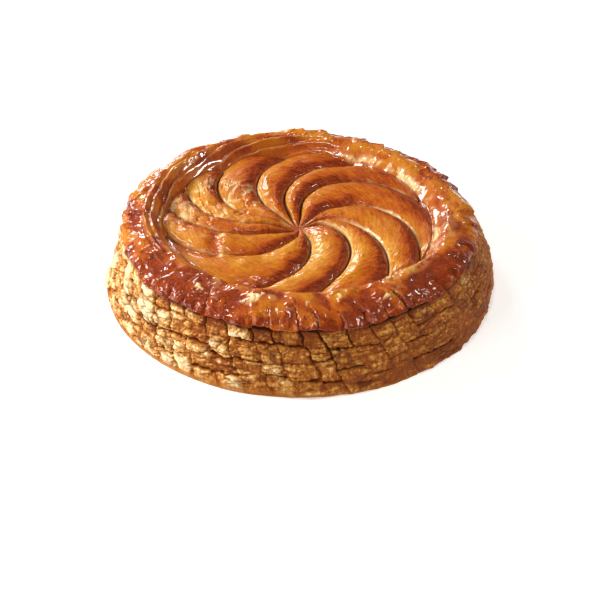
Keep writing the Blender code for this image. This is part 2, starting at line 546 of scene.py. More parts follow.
class Recipe:
    """The nodes of one finish."""

    def __init__(self, name: str) -> None:
        """Start a material with a bare shader.

        Args:
            name: The material's name.
        """
        self.material = bpy.data.materials.new(name)
        self.material.use_nodes = True
        self.tree = self.material.node_tree
        self.shader = self.tree.nodes["Principled BSDF"]

    def feed(self, socket: bpy.types.NodeSocket, value: object) -> None:
        """Link a wire to a socket, or set a plain value on it.

        Args:
            socket: The socket to feed.
            value: A wire, a colour, a vector or a number.
        """
        if isinstance(value, Wire):
            self.tree.links.new(value.socket, socket)
        elif isinstance(value, tuple) and socket.type == "RGBA":
            socket.default_value = (*value, 1.0)
        else:
            socket.default_value = value

    def node(self, kind: str, settings: Mapping[str, object], inputs: Mapping[object, object],
             output: Union[int, str] = 0) -> Wire:
        """Add any node.

        Args:
            kind: The node's type.
            settings: Properties to set first; "stops" holds a ramp's places and colours.
            inputs: Values or wires by socket name or number.
            output: Name or number of the output that is used.

        Returns:
            The wire of that output.
        """
        made = self.tree.nodes.new(kind)
        for key, value in settings.items():
            if key == "stops":
                self._set_stops(made.color_ramp, value)
            else:
                setattr(made, key, value)
        for key, value in inputs.items():
            self.feed(made.inputs[key], value)
        return Wire(self, made.outputs[output])

    @staticmethod
    def _set_stops(ramp: bpy.types.ColorRamp, stops: Sequence[tuple[float, Colour]]) -> None:
        """Give a ramp its places and colours.

        Args:
            ramp: The ramp to set.
            stops: Places from 0 to 1, each with its colour.
        """
        while len(ramp.elements) < len(stops):
            ramp.elements.new(1.0)
        for element, (spot, colour) in zip(ramp.elements, stops):
            element.position = spot
            element.color = (*colour, 1.0)

    def mark(self, name: str) -> Wire:
        """Read a value that the mesh carries at its points."""
        return self.node("ShaderNodeAttribute", {"attribute_name": name}, {}, "Fac")

    def where(self) -> Wire:
        """Places on the object, in metres."""
        return self.node("ShaderNodeTexCoord", {}, {}, "Object")

    def speckle(self, kind: Speckle, where: Union[Wire, None] = None) -> Wire:
        """Noise from 0 to 1 over the object, or over other places.

        Args:
            kind: The noise to add.
            where: Places to read it at, if not those on the object.

        Returns:
            The wire of the noise.
        """
        sizes = {"Vector": where or self.where(), "Scale": kind.per_metre, "Detail": kind.detail,
                 "Roughness": kind.roughness}
        return self.node("ShaderNodeTexNoise", {}, sizes, "Fac")

    def spread(self, value: Wire, kind: Speckle) -> Wire:
        """Spread the values in a speckle's range over 0 to 1."""
        sizes = {"Value": value, "From Min": kind.low, "From Max": kind.high}
        return self.node("ShaderNodeMapRange", {"clamp": True}, sizes)

    def mix(self, share: Value, first: object, second: object) -> Wire:
        """Go from the first colour to the second by share.

        Args:
            share: How much of the second colour to take.
            first: Colour or wire at share 0.
            second: Colour or wire at share 1.

        Returns:
            The wire of the mixed colour.
        """
        factor, start, end, result = 0, 6, 7, 2
        inputs = {factor: share, start: first, end: second}
        return self.node("ShaderNodeMix", {"data_type": "RGBA"}, inputs, result)

    def ramp(self, value: Wire, places: Sequence[float], colours: Sequence[Colour]) -> Wire:
        """Colours along a value from 0 to 1."""
        return self.node("ShaderNodeValToRGB", {"stops": list(zip(places, colours))}, {0: value})

    def grain(self, heights: Sequence[tuple[Wire, float]]) -> Wire:
        """Fine relief from heights, each with its depth in metres.

        Args:
            heights: Wires, each with its depth in metres.

        Returns:
            The wire for the shader's normal.
        """
        normal = None
        for height, depth in heights:
            inputs = {"Height": height, "Distance": depth}
            if normal is not None:
                inputs["Normal"] = normal
            normal = self.node("ShaderNodeBump", {}, inputs)
        return normal

    def dress(self, **sockets: object) -> bpy.types.Material:
        """Feed the shader's sockets, named with underscores for spaces, and give the material.

        Args:
            **sockets: Values or wires by socket name.

        Returns:
            The finished material.
        """
        for key, value in sockets.items():
            self.feed(self.shader.inputs[key.replace("_", " ").title().replace("Ior", "IOR")], value)
        return self.material


@dataclass(frozen=True)
class GlazedCrust:
    """Egg-glazed lid: golden on the petals, red-brown where the oven caught it, pale at the cuts. Its bake
    mark also carries painted light and shade, its pale crumb also painted highlights, and the creases get
    painted shade.
    """

    name: str = "glazed_crust"
    places: tuple[float, ...] = (0.0, 0.21, 0.50, 0.76, 1.0)
    straw: Colour = (0.66, 0.29, 0.026)
    gold: Colour = (0.55, 0.185, 0.010)
    amber: Colour = (0.46, 0.090, 0.006)
    russet: Colour = (0.26, 0.032, 0.004)
    char: Colour = (0.090, 0.014, 0.003)
    # Pale crumb at the cuts, also used for painted highlights.
    crumb: Colour = (0.95, 0.68, 0.30)
    # Colour of the painted shade in the creases.
    crease_shade: Colour = (0.20, 0.030, 0.004)
    mottle: Speckle = Speckle(160.0, 5.0, 0.62)
    pores: Speckle = Speckle(900.0, low=0.32, high=0.68)
    strokes: Speckle = Speckle(640.0, low=0.36, high=0.66)
    mottled: float = 0.50
    pored: float = 0.24
    brushed: float = 0.26
    torn: tuple[float, float, float] = (1.5, 1.7, 0.60)
    glaze: float = 0.06
    patchy_glaze: float = 0.74
    dull_cut: float = 0.35
    dull_lip: float = 0.8
    roughness: float = 0.36
    rough_cut: float = 0.3
    rough_pores: float = 0.2
    coat_roughness: float = 0.11
    shine: float = 0.10
    bumps: float = 0.40 * MM
    pore_bumps: float = 0.3
    stroke_bumps: float = 0.4 * MM

    def material(self) -> bpy.types.Material:
        """Make the material.

        Returns:
            A material that reads the lid's marks: bake, with painted light and shade in it; cut, pale crumb
            with painted highlights; the painted shade of the creases; dry, along and across.
        """
        recipe = Recipe(self.name)
        mottle = recipe.speckle(self.mottle)
        pores = recipe.speckle(self.pores)
        course = {0: recipe.mark("along"), 1: recipe.mark("across")}
        strokes = recipe.speckle(self.strokes, recipe.node("ShaderNodeCombineXYZ", {}, course))
        strokes = recipe.spread(strokes, self.strokes) - 0.5
        bake = recipe.mark("bake") + (mottle - 0.5) * self.mottled
        bake = bake + (recipe.spread(pores, self.pores) - 0.5) * self.pored - strokes * self.brushed
        crust = recipe.ramp(bake, self.places, (self.straw, self.gold, self.amber, self.russet, self.char))
        by_mottle, by_pores, fewer = self.torn
        # Pale crumb at the cuts, with painted highlights mixed in.
        cut = (recipe.mark("cut") * (by_mottle * mottle + by_pores * pores - fewer)).held()
        crust = recipe.mix(cut, crust, self.crumb)
        # Painted shade in the creases.
        crust = recipe.mix(recipe.mark("crease_shade").held(), crust, self.crease_shade)
        gloss = (1.0 - cut * self.dull_cut) * (1.0 - self.dull_lip * recipe.mark("dry"))
        gloss = gloss * (self.glaze + self.patchy_glaze * mottle)
        normal = recipe.grain([(mottle, self.bumps), (pores, self.bumps * self.pore_bumps),
                               (strokes, self.brushed * self.stroke_bumps)])
        rough = (self.roughness + cut * self.rough_cut + (pores - 0.5) * self.rough_pores).held()
        return recipe.dress(base_color=crust, roughness=rough, coat_weight=gloss.held(), normal=normal,
                            coat_roughness=self.coat_roughness, specular_ior_level=self.shine)


@dataclass(frozen=True)
class LayeredSide:
    """Dry side of the pie: pale and golden leaves of pastry with an amber foot, and painted shade in the
    gaps. The bake mark also carries painted light and shade.
    """

    name: str = "layered_side"
    places: tuple[float, ...] = (0.0, 0.30, 0.58, 0.92)
    cream: Colour = (0.90, 0.70, 0.40)
    straw: Colour = (0.72, 0.38, 0.105)
    gold: Colour = (0.48, 0.165, 0.018)
    brown: Colour = (0.27, 0.060, 0.006)
    # Colour of the painted shade in the gaps.
    gap: Colour = (0.095, 0.018, 0.003)
    foot: Colour = (0.40, 0.130, 0.012)
    mottle: Speckle = Speckle(260.0, 4.0)
    crumbs: Speckle = Speckle(1300.0)
    fibres: Speckle = Speckle(620.0, 2.0, low=0.34, high=0.66)
    drawn: tuple[float, float, float] = (1.0, 1.0, 0.42)
    mottled: float = 0.50
    fibrous: float = 0.42
    mottle_bumps: float = 0.35 * MM
    fibre_bumps: float = 0.30 * MM
    crumb_bumps: float = 0.12 * MM
    roughness: float = 0.62
    rough_crumbs: float = 0.2
    shine: float = 0.18

    def material(self) -> bpy.types.Material:
        """Make the material.

        Returns:
            A material that reads the side's marks: bake, with painted light and shade in it; gap, painted
            shade; and foot.
        """
        recipe = Recipe(self.name)
        mottle = recipe.speckle(self.mottle)
        crumbs = recipe.speckle(self.crumbs)
        drawn = {0: recipe.where(), 1: self.drawn}
        drawn = recipe.node("ShaderNodeVectorMath", {"operation": "MULTIPLY"}, drawn)
        fibres = recipe.speckle(self.fibres, drawn)
        bake = recipe.mark("bake") + (mottle - 0.5) * self.mottled
        bake = bake + (recipe.spread(fibres, self.fibres) - 0.5) * self.fibrous
        crust = recipe.ramp(bake, self.places, (self.cream, self.straw, self.gold, self.brown))
        crust = recipe.mix(recipe.mark("foot").held(), crust, self.foot)
        # Painted shade in the gaps.
        crust = recipe.mix(recipe.mark("gap").held(), crust, self.gap)
        normal = recipe.grain([(mottle, self.mottle_bumps), (fibres, self.fibre_bumps),
                               (crumbs, self.crumb_bumps)])
        rough = (self.roughness + (crumbs - 0.5) * self.rough_crumbs).held()
        return recipe.dress(base_color=crust, roughness=rough, normal=normal,
                            specular_ior_level=self.shine)


@dataclass(frozen=True)
class BakedUnderside:
    """Flat, dry, evenly browned underside."""

    name: str = "baked_underside"
    pale: Colour = (0.50, 0.24, 0.060)
    brown: Colour = (0.27, 0.095, 0.018)
    mottle: Speckle = Speckle(70.0, 6.0, low=0.35, high=0.65)
    pores: Speckle = Speckle(700.0)
    pored: float = 0.3
    roughness: float = 0.55
    bumps: float = 0.2 * MM

    def material(self) -> bpy.types.Material:
        """Make the material.

        Returns:
            The finished material.
        """
        recipe = Recipe(self.name)
        mottle = recipe.speckle(self.mottle)
        pores = recipe.speckle(self.pores)
        share = recipe.spread(mottle + (pores - 0.5) * self.pored, self.mottle)
        rough = (self.roughness + (pores - 0.5) * self.pored).held()
        return recipe.dress(base_color=recipe.mix(share, self.pale, self.brown), roughness=rough,
                            normal=recipe.grain([(pores, self.bumps)]))


@dataclass(frozen=True)
class PaleFloor:
    """Plain pale floor."""

    name: str = "pale_floor"
    colour: Colour = (0.93, 0.93, 0.925)
    shade: Colour = (0.90, 0.90, 0.895)
    cloud: Speckle = Speckle(3.0, 2.0, 0.5)
    cloudy: float = 0.02
    roughness: float = 0.8
    glow: float = 0.40

    def material(self) -> bpy.types.Material:
        """Make the material.

        Returns:
            The finished material.
        """
        recipe = Recipe(self.name)
        tone = recipe.mix(recipe.speckle(self.cloud) * self.cloudy, self.colour, self.shade)
        return recipe.dress(base_color=tone, roughness=self.roughness, emission_color=self.colour,
                            emission_strength=self.glow)


def present(piece: bpy.types.Object, material: bpy.types.Material, fits: str) -> bpy.types.Object:
    """Dress a piece and say what it rides on and stands for.

    Args:
        piece: The finished mesh object.
        material: Its finish.
        fits: What the piece is, for the log.

    Returns:
        The same object.
    """
    piece.data.materials.append(material)
    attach(piece, BODY)
    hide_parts(NODE)
    LOG.info("%s: %s, %d faces", piece.name, fits, len(piece.data.polygons))
    return piece


@dataclass
class Columns:
    """The lid's columns, crowded towards the scores, and the petal that each of them lies in."""

    form: PieForm
    per_petal: int = 110
    crowding: float = 0.35

    def __post_init__(self) -> None:
        """Lay the columns out between the scores."""
        steps = np.arange(self.per_petal) / self.per_petal
        steps = steps - self.crowding * np.sin(2.0 * math.pi * steps) / (2.0 * math.pi)
        before = np.array(self.form.scores)
        after = np.roll(before, -1, axis=0)
        after[-1, 0] += 360.0
        self.share = np.tile(steps, len(before))
        self.petal = np.repeat(np.arange(len(before)), self.per_petal)
        start, end = before[self.petal], after[self.petal]
        self.bearing, self.inner, self.outer = blend(start, end, self.share[:, None]).T
        self.spread = (end - start).T

    def curl(self, ring: np.ndarray) -> tuple[np.ndarray, np.ndarray]:
        """Lay the rings out along the curling columns.

        Args:
            ring: Radii of the rings, as a column.

        Returns:
            The radius and the angle of every point.
        """
        form = self.form
        radius = ring - form.rim_shift(self.bearing + form.turn(ring), ring)
        return radius, self.bearing + form.turn(radius) + form.stray(self.inner, self.outer, radius)

    def lean(self, radius: np.ndarray, angle: np.ndarray) -> np.ndarray:
        """How far the scores run sideways for each step that they run outwards."""
        return radius * np.gradient(np.radians(angle), axis=0) / np.gradient(radius, axis=0)

    def widths(self, radius: np.ndarray, angle: np.ndarray) -> np.ndarray:
        """Width of the petals at every point, square to their scores.

        Args:
            radius: Radius of every point.
            angle: Angle of every point.

        Returns:
            The width of its petal at every point.
        """
        across, inner, outer = self.spread
        across = np.radians(across + self.form.stray(inner, outer, radius))
        return radius * across / np.sqrt(1.0 + self.lean(radius, angle) ** 2)

    def sunny(self, radius: np.ndarray, angle: np.ndarray, side: float) -> np.ndarray:
        """How far the walls at the petals' far edges face a side, from -1 to 1.

        Args:
            radius: Radius of every point.
            angle: Angle of every point.
            side: Bearing that the walls may face.

        Returns:
            One value for each point.
        """
        lean = -self.lean(radius, angle)
        turned = np.radians(angle - side)
        return (lean * np.cos(turned) - np.sin(turned)) / np.sqrt(1.0 + lean ** 2)


@dataclass
class Skin:
    """The lid's surface over some rings, to which its features are added one after the other."""

    form: PieForm
    columns: Columns
    ring: np.ndarray
    crest_band: Rise = Rise(83.0 * MM, 4.0 * MM)
    score_end: float = 2.0 * MM
    score_fade: float = 3.0 * MM
    blister_noise: Noise = Noise(LID_RELIEF, 140.0, 4)
    blister_height: float = 0.13 * MM
    streak_noise: Noise = Noise(LID_RELIEF, 130.0, 2)
    streak_radius: float = 55.0 * MM
    streak_length: float = 1.2
    fray_noise: Noise = Noise(LID_TINT, 260.0, 3)
    fray: tuple[float, float] = (0.55, 1.4)

    def __post_init__(self) -> None:
        """Lay out the plain surface and what several features share."""
        form, ring = self.form, self.ring
        self.radius, self.angle = self.columns.curl(ring)
        self.flat = form.place(self.radius, self.angle, 0.0)
        self.on_rim = Rise(form.disc_radius, form.crest_radius - form.disc_radius).at(ring)
        self.at_lip = Rise(form.crest_radius, form.lip_radius - form.crest_radius).at(ring)
        self.on_disc = 1.0 - self.on_rim
        self.scored = Rise(form.disc_radius + self.score_end, -self.score_fade).at(ring)
        self.crest = self.crest_band.at(ring)
        self.blisters = self.blister_noise.at(self.flat)
        self.streaks = self.streak_noise.at(form.place(self.streak_radius, self.angle,
                                                       ring * self.streak_length))
        self.frayed = held(self.fray[0] + self.fray[1] * self.fray_noise.at(self.flat))
        wobble = form.wobble * solid_noise(self.flat, form.wobble_scale) - form.sag(self.angle)
        wobble = wobble + form.rim_lump * solid_noise(self.flat, form.rim_lump_scale)
        lump = form.petal_lump * solid_noise(self.flat, form.petal_lump_scale)
        self.height = form.lid_height(ring) + self.on_rim * wobble + self.on_disc * lump
        self.height = self.height + self.blister_height * self.blisters
        self.out = self.at_lip * form.wobbles(self.angle)[1]
        # shade holds the petals' painted light and shade and lit the front crest's painted light; cut also
        # holds painted highlights, and the creases' mark painted shade.
        self.bake = self.cut = self.crease_shade = self.shade = self.lit = self.patch = 0.0 * self.angle

    def bare(self, share: np.ndarray) -> None:
        """Show pale crumb, and painted highlights, where share is high."""
        self.cut = np.maximum(self.cut, share)

    def paint_shade(self, share: np.ndarray) -> None:
        """Paint shade into a crease where share is high."""
        self.crease_shade = np.maximum(self.crease_shade, share)


@dataclass(frozen=True)
class Petals:
    """Domed petals between the scores, with pale cut faces, painted light and painted shade. The cut faces
    toward the key light are painted paler as a painted highlight, the flanks away from it and the outer
    ends at the lower right get painted shade, and each dome is painted lighter on its side toward the
    light.
    """

    groove_width: float = 0.45 * MM
    groove_depth: float = 0.9 * MM
    score_shade: float = 0.85
    groove_start: Rise = Rise(1.0 * MM, 6.0 * MM)
    cut_width: float = 0.82 * MM
    cut_rise: float = 0.45 * MM
    cut_rise_place: float = 1.9
    cut_rise_width: float = 0.8 * MM
    cut_reach: float = 1.7
    cut_even: float = 0.42
    cut_least: float = 0.05
    ragged: float = 0.6
    wider_right: float = 0.35
    narrower_out: float = 0.5
    strength: tuple[float, float, float] = (0.85, 0.6, 0.35)
    least_strength: float = 0.2
    flank_width: float = 4.6 * MM
    flank_reach: float = 1.6
    flank_shade: float = 0.30
    dome_light: float = 0.50
    end_shade: float = 0.26
    # Bearing of the key light: cut faces toward it are painted paler and flanks away from it painted
    # darker.
    key_light_bearing: float = 165.0
    one_sided: float = 0.9
    fine_end: float = 2.0 * MM
    rag_noise: Noise = Noise(LID_RELIEF, 330.0, 3)
    cut_noise: Noise = Noise(LID_TINT, 75.0, 3)
    outer_ends: Rise = Rise(48.0 * MM, 26.0 * MM)
    right: Facing = Facing(-20.0, 0.4)
    lower_right: Facing = Facing(-25.0, 0.2)
    left: Facing = Facing(190.0)

    def add(self, skin: Skin) -> None:
        """Sink the scores, bare their faces and shade the petals.

        Args:
            skin: The lid's surface so far.
        """
        form, share = skin.form, skin.columns.share
        radius, angle = skin.radius, skin.angle
        fade = smooth_step(radius / form.score_start)
        sunny = skin.columns.sunny(radius, angle, self.key_light_bearing)
        across = skin.columns.widths(radius, angle)
        nearest = across * np.minimum(share, 1.0 - share)
        outer, right = self.outer_ends.at(radius), self.right.at(angle)
        edge = 1.0 + self.ragged * self.rag_noise.at(skin.flat)
        edge = self.cut_width * (edge + (self.wider_right - self.narrower_out * outer) * right)
        # Pale cut faces are painted stronger on the side toward the key light, and wider at the right, as
        # painted highlight; flanks away from it get painted shade.
        face = flank = 0.0
        for gap, light in ((across * share, sunny), (across * (1.0 - share), -sunny)):
            toward = held(self.cut_even - self.one_sided * light, self.cut_least)
            face = np.maximum(face, smooth_step(self.cut_reach - gap / edge) * toward)
            away = held(self.one_sided * light)
            flank = np.maximum(flank, smooth_step(self.flank_reach - gap / self.flank_width) * away)
        even, uneven, weaker_left = self.strength
        strength = even + uneven * self.cut_noise.at(skin.flat) - weaker_left * self.left.at(angle)
        # The dark line along each score's bottom is painted shade in the crease.
        crease_shade = self.score_shade * hump(nearest, self.groove_width) * self.groove_start.at(radius)
        skin.bare(face * fade * held(strength, self.least_strength) * skin.scored)
        skin.paint_shade(crease_shade * skin.scored)
        crown = 1.0 - (1.0 - crown_share(share)) ** form.score_roundness
        raised = self.cut_rise * hump(nearest - self.cut_rise_place * edge, self.cut_rise_width)
        inside = Rise(form.disc_radius + self.fine_end, -2.0 * self.fine_end).at(radius)
        sink = form.score_depth * (1.0 - crown) + (self.groove_depth * crease_shade - raised) * inside
        skin.height = skin.height - skin.on_disc * sink * fade
        # Painted light and shade: each dome lighter towards the key light, darker on the flank away from it
        # and at the outer ends at the lower right.
        skin.shade = fade * (self.dome_light * sunny * (2.0 * share - 1.0) - self.flank_shade * flank)
        skin.shade = skin.shade - self.end_shade * outer * self.lower_right.at(angle)


@dataclass(frozen=True)
class Ribs:
    """Fine ribs that run with the petals, where the leaves of the dough rose unevenly."""

    height: float = 0.20 * MM
    bake: float = 0.03
    broad: Noise = Noise(LID_RELIEF, 420.0)
    fine: Noise = Noise(LID_RELIEF, 960.0)
    fine_share: float = 0.5
    per_degree: float = 0.6 * MM
    start: Rise = Rise(0.0, 20.0 * MM)

    def add(self, skin: Skin) -> None:
        """Raise the ribs.

        Args:
            skin: The lid's surface so far.
        """
        across = skin.columns.bearing * self.per_degree
        strips = np.stack(np.broadcast_arrays(skin.ring, across, 0.0), axis=-1)
        ribs = (self.broad.at(strips) + self.fine_share * self.fine.at(strips)) * skin.on_disc
        skin.height = skin.height + self.height * ribs * self.start.at(skin.ring)
        skin.bake = skin.bake + self.bake * ribs


@dataclass(frozen=True)
class Crackle:
    """A crackled patch at the left of the disc."""

    place: tuple[float, float] = (-57.0 * MM, 22.0 * MM)
    reach: Rise = Rise(42.0 * MM, -26.25 * MM)
    plates: Cells = Cells(LID_RELIEF, 82.0)
    waviness: float = 2.0 * MM
    crack_width: float = 0.085
    crack_depth: float = 1.5 * MM
    plate_height: float = 1.25 * MM
    plate_bake: float = 0.24
    pale: float = 0.85
    filled_noise: Noise = Noise(LID_TINT, 120.0)
    filled_below: float = -0.1

    def add(self, skin: Skin) -> None:
        """Break the patch up into plates.

        Args:
            skin: The lid's surface so far.
        """
        offset = skin.flat[..., :2] - np.array(self.place)
        cracked = self.reach.at(np.hypot(offset[..., 0], offset[..., 1])) * skin.scored
        edge, kind = self.plates.at(skin.flat + self.waviness * skin.blisters[..., None])
        crack = hump(edge, self.crack_width) * cracked
        tilt = cracked * (kind - 0.5)
        skin.height = skin.height + self.plate_height * tilt - self.crack_depth * crack
        skin.bake = skin.bake + self.plate_bake * tilt
        skin.bare(self.pale * crack * (self.filled_noise.at(skin.flat) > self.filled_below))


@dataclass(frozen=True)
class Tear:
    """A tear across the left petals, with a raised pale edge, painted as pale crumb and as the highlight on
    the step that faces the key light.
    """

    place: float = -46.0 * MM
    near_end: Rise = Rise(-37.0 * MM, 4.0 * MM)
    far_end: Rise = Rise(-9.0 * MM, -4.0 * MM)
    waviness: float = 1.4 * MM
    raised: float = 1.5 * MM
    step: Rise = Rise(0.0, 1.3 * MM)
    slope: Rise = Rise(24.0 * MM, -24.0 * MM)
    sunk: float = 0.9 * MM
    hollow: tuple[float, float] = (3.5 * MM, 4.0 * MM)
    edge: tuple[float, float] = (1.2 * MM, 1.7 * MM)
    brown: float = 0.34
    browned: tuple[float, float] = (4.0 * MM, 4.0 * MM)

    def add(self, skin: Skin) -> None:
        """Lift one side of the tear and bare its edge.

        Args:
            skin: The lid's surface so far.
        """
        beyond = skin.flat[..., 0] - self.place + self.waviness * skin.blisters
        span = self.near_end.at(skin.flat[..., 1]) * self.far_end.at(skin.flat[..., 1])
        lifted = self.raised * self.step.at(beyond) * self.slope.at(beyond)
        lifted = lifted - self.sunk * hump(beyond + self.hollow[0], self.hollow[1])
        skin.height = skin.height + span * lifted
        skin.bake = skin.bake + self.brown * span * hump(beyond + self.browned[0], self.browned[1])
        # The pale edge is crumb and a painted highlight on the lit step.
        skin.bare(span * hump(beyond - self.edge[0], self.edge[1]) * skin.frayed)


@dataclass(frozen=True)
class Ledges:
    """Ledges that run along the rim's inner slope at the back left, and the streaks all round the rim. Each
    ledge's crest is painted pale, as crumb and as painted highlight, and its foot gets painted shade.
    """

    span: tuple[float, float] = (79.0 * MM, 93.5 * MM)
    end: float = 3.0 * MM
    bearing: float = 145.0
    reach: Facing = Facing(145.0, -0.7, 2.6)
    calm: Facing = Facing(145.0, 0.0, 1.4)
    calm_end: Rise = Rise(91.0 * MM, -5.0 * MM)
    calmed: float = 0.75
    streak_height: float = 0.95 * MM
    pitch: float = 4.6 * MM
    height: float = 2.3 * MM
    curl: float = 0.14 * MM
    sway_noise: Noise = Noise(LID_RELIEF, 30.0)
    sway_radius: float = 90.0 * MM
    sway: float = 2.4 * MM
    waviness: float = 0.5 * MM
    patchy_noise: Noise = Noise(LID_TINT, 60.0)
    patchy_radius: float = 30.0 * MM
    patchy: tuple[float, float] = (0.75, 0.8)
    patchy_range: tuple[float, float] = (0.25, 1.2)
    overhang: float = 1.4
    edge_place: float = 0.66
    edge_width: float = 0.065
    edge_strength: tuple[float, float] = (0.7, 1.4)
    pale: float = 0.60
    root_width: float = 0.11
    root_shade: float = 0.85

    def add(self, skin: Skin) -> None:
        """Step the slope and streak the rim.

        Args:
            skin: The lid's surface so far.
        """
        form, radius, angle = skin.form, skin.radius, skin.angle
        calm = self.calm.at(angle) * self.calm_end.at(skin.ring)
        streaks = self.streak_height * skin.streaks * skin.on_rim
        skin.height = skin.height + streaks * (1.0 - self.calmed * calm)
        first, last = self.span
        reach = Rise(first, self.end).at(radius) * Rise(last, -self.end).at(radius) * self.reach.at(angle)
        patchy = self.patchy_noise.at(form.place(self.patchy_radius, angle, radius))
        reach = reach * held(self.patchy[0] + self.patchy[1] * patchy, *self.patchy_range)
        lag = np.mod(angle - self.bearing + 180.0, 360.0) - 180.0
        sway = self.sway * self.sway_noise.at(form.place(self.sway_radius, angle, 0.0))
        sway = sway + self.waviness * skin.blisters
        step = (radius - first + self.curl * lag + sway) / self.pitch
        step = step - np.floor(step)
        rise = reach * -0.5 * np.cos(2.0 * math.pi * step ** self.overhang)
        skin.height = skin.height + self.height * rise
        # Pale crest of each ledge: crumb and painted highlight.
        edge = reach * hump(step - self.edge_place, self.edge_width)
        skin.bare(self.pale * edge * held(self.edge_strength[0] + self.edge_strength[1] * skin.blisters))
        # Painted shade at the foot of each ledge.
        skin.paint_shade(self.root_shade * reach * hump(np.minimum(step, 1.0 - step), self.root_width))


@dataclass(frozen=True)
class InnerEdge:
    """The pale torn edge at the foot of the rim's inner slope, with the seam where the disc begins. The
    pale is crumb, painted stronger and wider at the right and the front as painted highlight, and the seam
    gets painted shade.
    """

    radius: float = 80.6 * MM
    waviness: float = 1.6 * MM
    width: float = 1.1 * MM
    right: Facing = Facing(-5.0, 0.3)
    front: Facing = Facing(275.0, 0.2)
    left_out: Facing = Facing(145.0, 0.0, 1.2)
    torn_noise: Noise = Noise(LID_TINT, 95.0, 4)
    torn: float = 0.1
    torn_right: float = 0.75
    torn_front: float = 0.3
    torn_unevenly: float = 2.0
    relief_noise: Noise = Noise(LID_RELIEF, 220.0, 3)
    relief: float = 1.3 * MM
    pale: float = 0.85
    seam_radius: float = 78.2 * MM
    seam_noise: Noise = Noise(LID_RELIEF, 90.0)
    seam_waviness: float = 0.8 * MM
    seam_width: float = 0.9 * MM
    seam_depth: float = 0.9 * MM
    seam_shade: float = 0.65

    def add(self, skin: Skin) -> None:
        """Tear the edge and sink the seam.

        Args:
            skin: The lid's surface so far.
        """
        right = self.right.at(skin.angle)
        # Stronger at the right and the front, where the pale stands in for painted highlight on the slope.
        most = np.maximum(self.torn_right * right, self.torn_front * self.front.at(skin.angle))
        torn = held(self.torn + most + self.torn_unevenly * self.torn_noise.at(skin.flat))
        edge = hump(skin.ring - self.radius - self.waviness * skin.streaks, self.width * (1.0 + right))
        edge = edge * torn * skin.frayed * (1.0 - self.left_out.at(skin.angle))
        skin.height = skin.height + self.relief * edge * self.relief_noise.at(skin.flat)
        skin.bare(self.pale * edge)
        wander = self.seam_waviness * self.seam_noise.at(skin.flat)
        seam = hump(skin.ring - self.seam_radius - wander, self.seam_width)
        skin.height = skin.height - self.seam_depth * seam
        # Painted shade in the seam.
        skin.paint_shade(self.seam_shade * seam)


@dataclass(frozen=True)
class Crest:
    """The rim's crest: blistered patches, a few of them flaked off, pleats, and painted light at the front.
    There the crest is painted lighter where it catches the light and carries pale painted glints; the pale
    flaked patches also stand in for painted highlights.
    """

    patches: Cells = Cells(LID_TINT, 175.0)
    waviness: float = 2.5 * MM
    patch_height: float = 0.90 * MM
    patch_edge: float = 0.16
    flake_kind: Rise = Rise(0.92, 0.04)
    flake_edge: float = 0.3
    flake_inset: float = 0.3
    flake_streaks: float = 1.8
    flake_end: Rise = Rise(0.7, -0.2)
    flake_front: Rise = Rise(24.0 * MM, -60.0 * MM)
    pleat_noise: Noise = Noise(LID_RELIEF, 260.0)
    pleat_radius: float = 30.0 * MM
    pleat_length: float = 0.6
    pleat_height: float = 0.32 * MM
    pleat_start: Rise = Rise(88.0 * MM, 6.0 * MM)
    lit_front: Facing = Facing(288.0, 0.2)
    lit_end: Rise = Rise(94.5 * MM, -7.0 * MM)
    lit_waviness: float = 3.0 * MM
    glint_noise: Noise = Noise(LID_TINT, 58.0, 3)
    glint_kind: Rise = Rise(0.10, 0.25)
    glint_start: Rise = Rise(82.5 * MM, 2.0 * MM)
    glint_height: float = 0.5 * MM
    glint_bake: float = 0.14
    glint_pale: float = 0.22

    def add(self, skin: Skin) -> None:
        """Raise the patches, the pleats and the sheen.

        Args:
            skin: The lid's surface so far.
        """
        form, ring = skin.form, skin.ring
        edge, skin.patch = self.patches.at(skin.flat + self.waviness * skin.blisters[..., None])
        patch = self.patch_height * (skin.patch - 0.5) * smooth_step(edge / self.patch_edge)
        pleats = self.pleat_noise.at(form.place(self.pleat_radius, skin.angle, ring * self.pleat_length))
        pleats = self.pleat_height * pleats * self.pleat_start.at(ring)
        skin.height = skin.height + skin.crest * patch + pleats
        inset = edge / self.flake_edge - self.flake_inset + self.flake_streaks * skin.streaks
        # Pale flaked patches, crumb that also stands in for painted highlights.
        flaked = self.flake_kind.at(skin.patch) * smooth_step(inset) * skin.crest
        skin.bare(flaked * self.flake_end.at(skin.at_lip) * self.flake_front.at(skin.flat[..., 1]))
        # Where the front crest is painted lighter, as painted light, and the painted glints lie.
        skin.lit = self.lit_front.at(skin.angle) * self.lit_end.at(ring - self.lit_waviness * skin.blisters)
        glint = self.glint_kind.at(self.glint_noise.at(skin.flat)) * skin.frayed * skin.lit
        glint = glint * self.glint_start.at(ring)
        skin.height = skin.height + self.glint_height * glint
        skin.bake = skin.bake - self.glint_bake * glint
        skin.bare(self.glint_pale * glint)


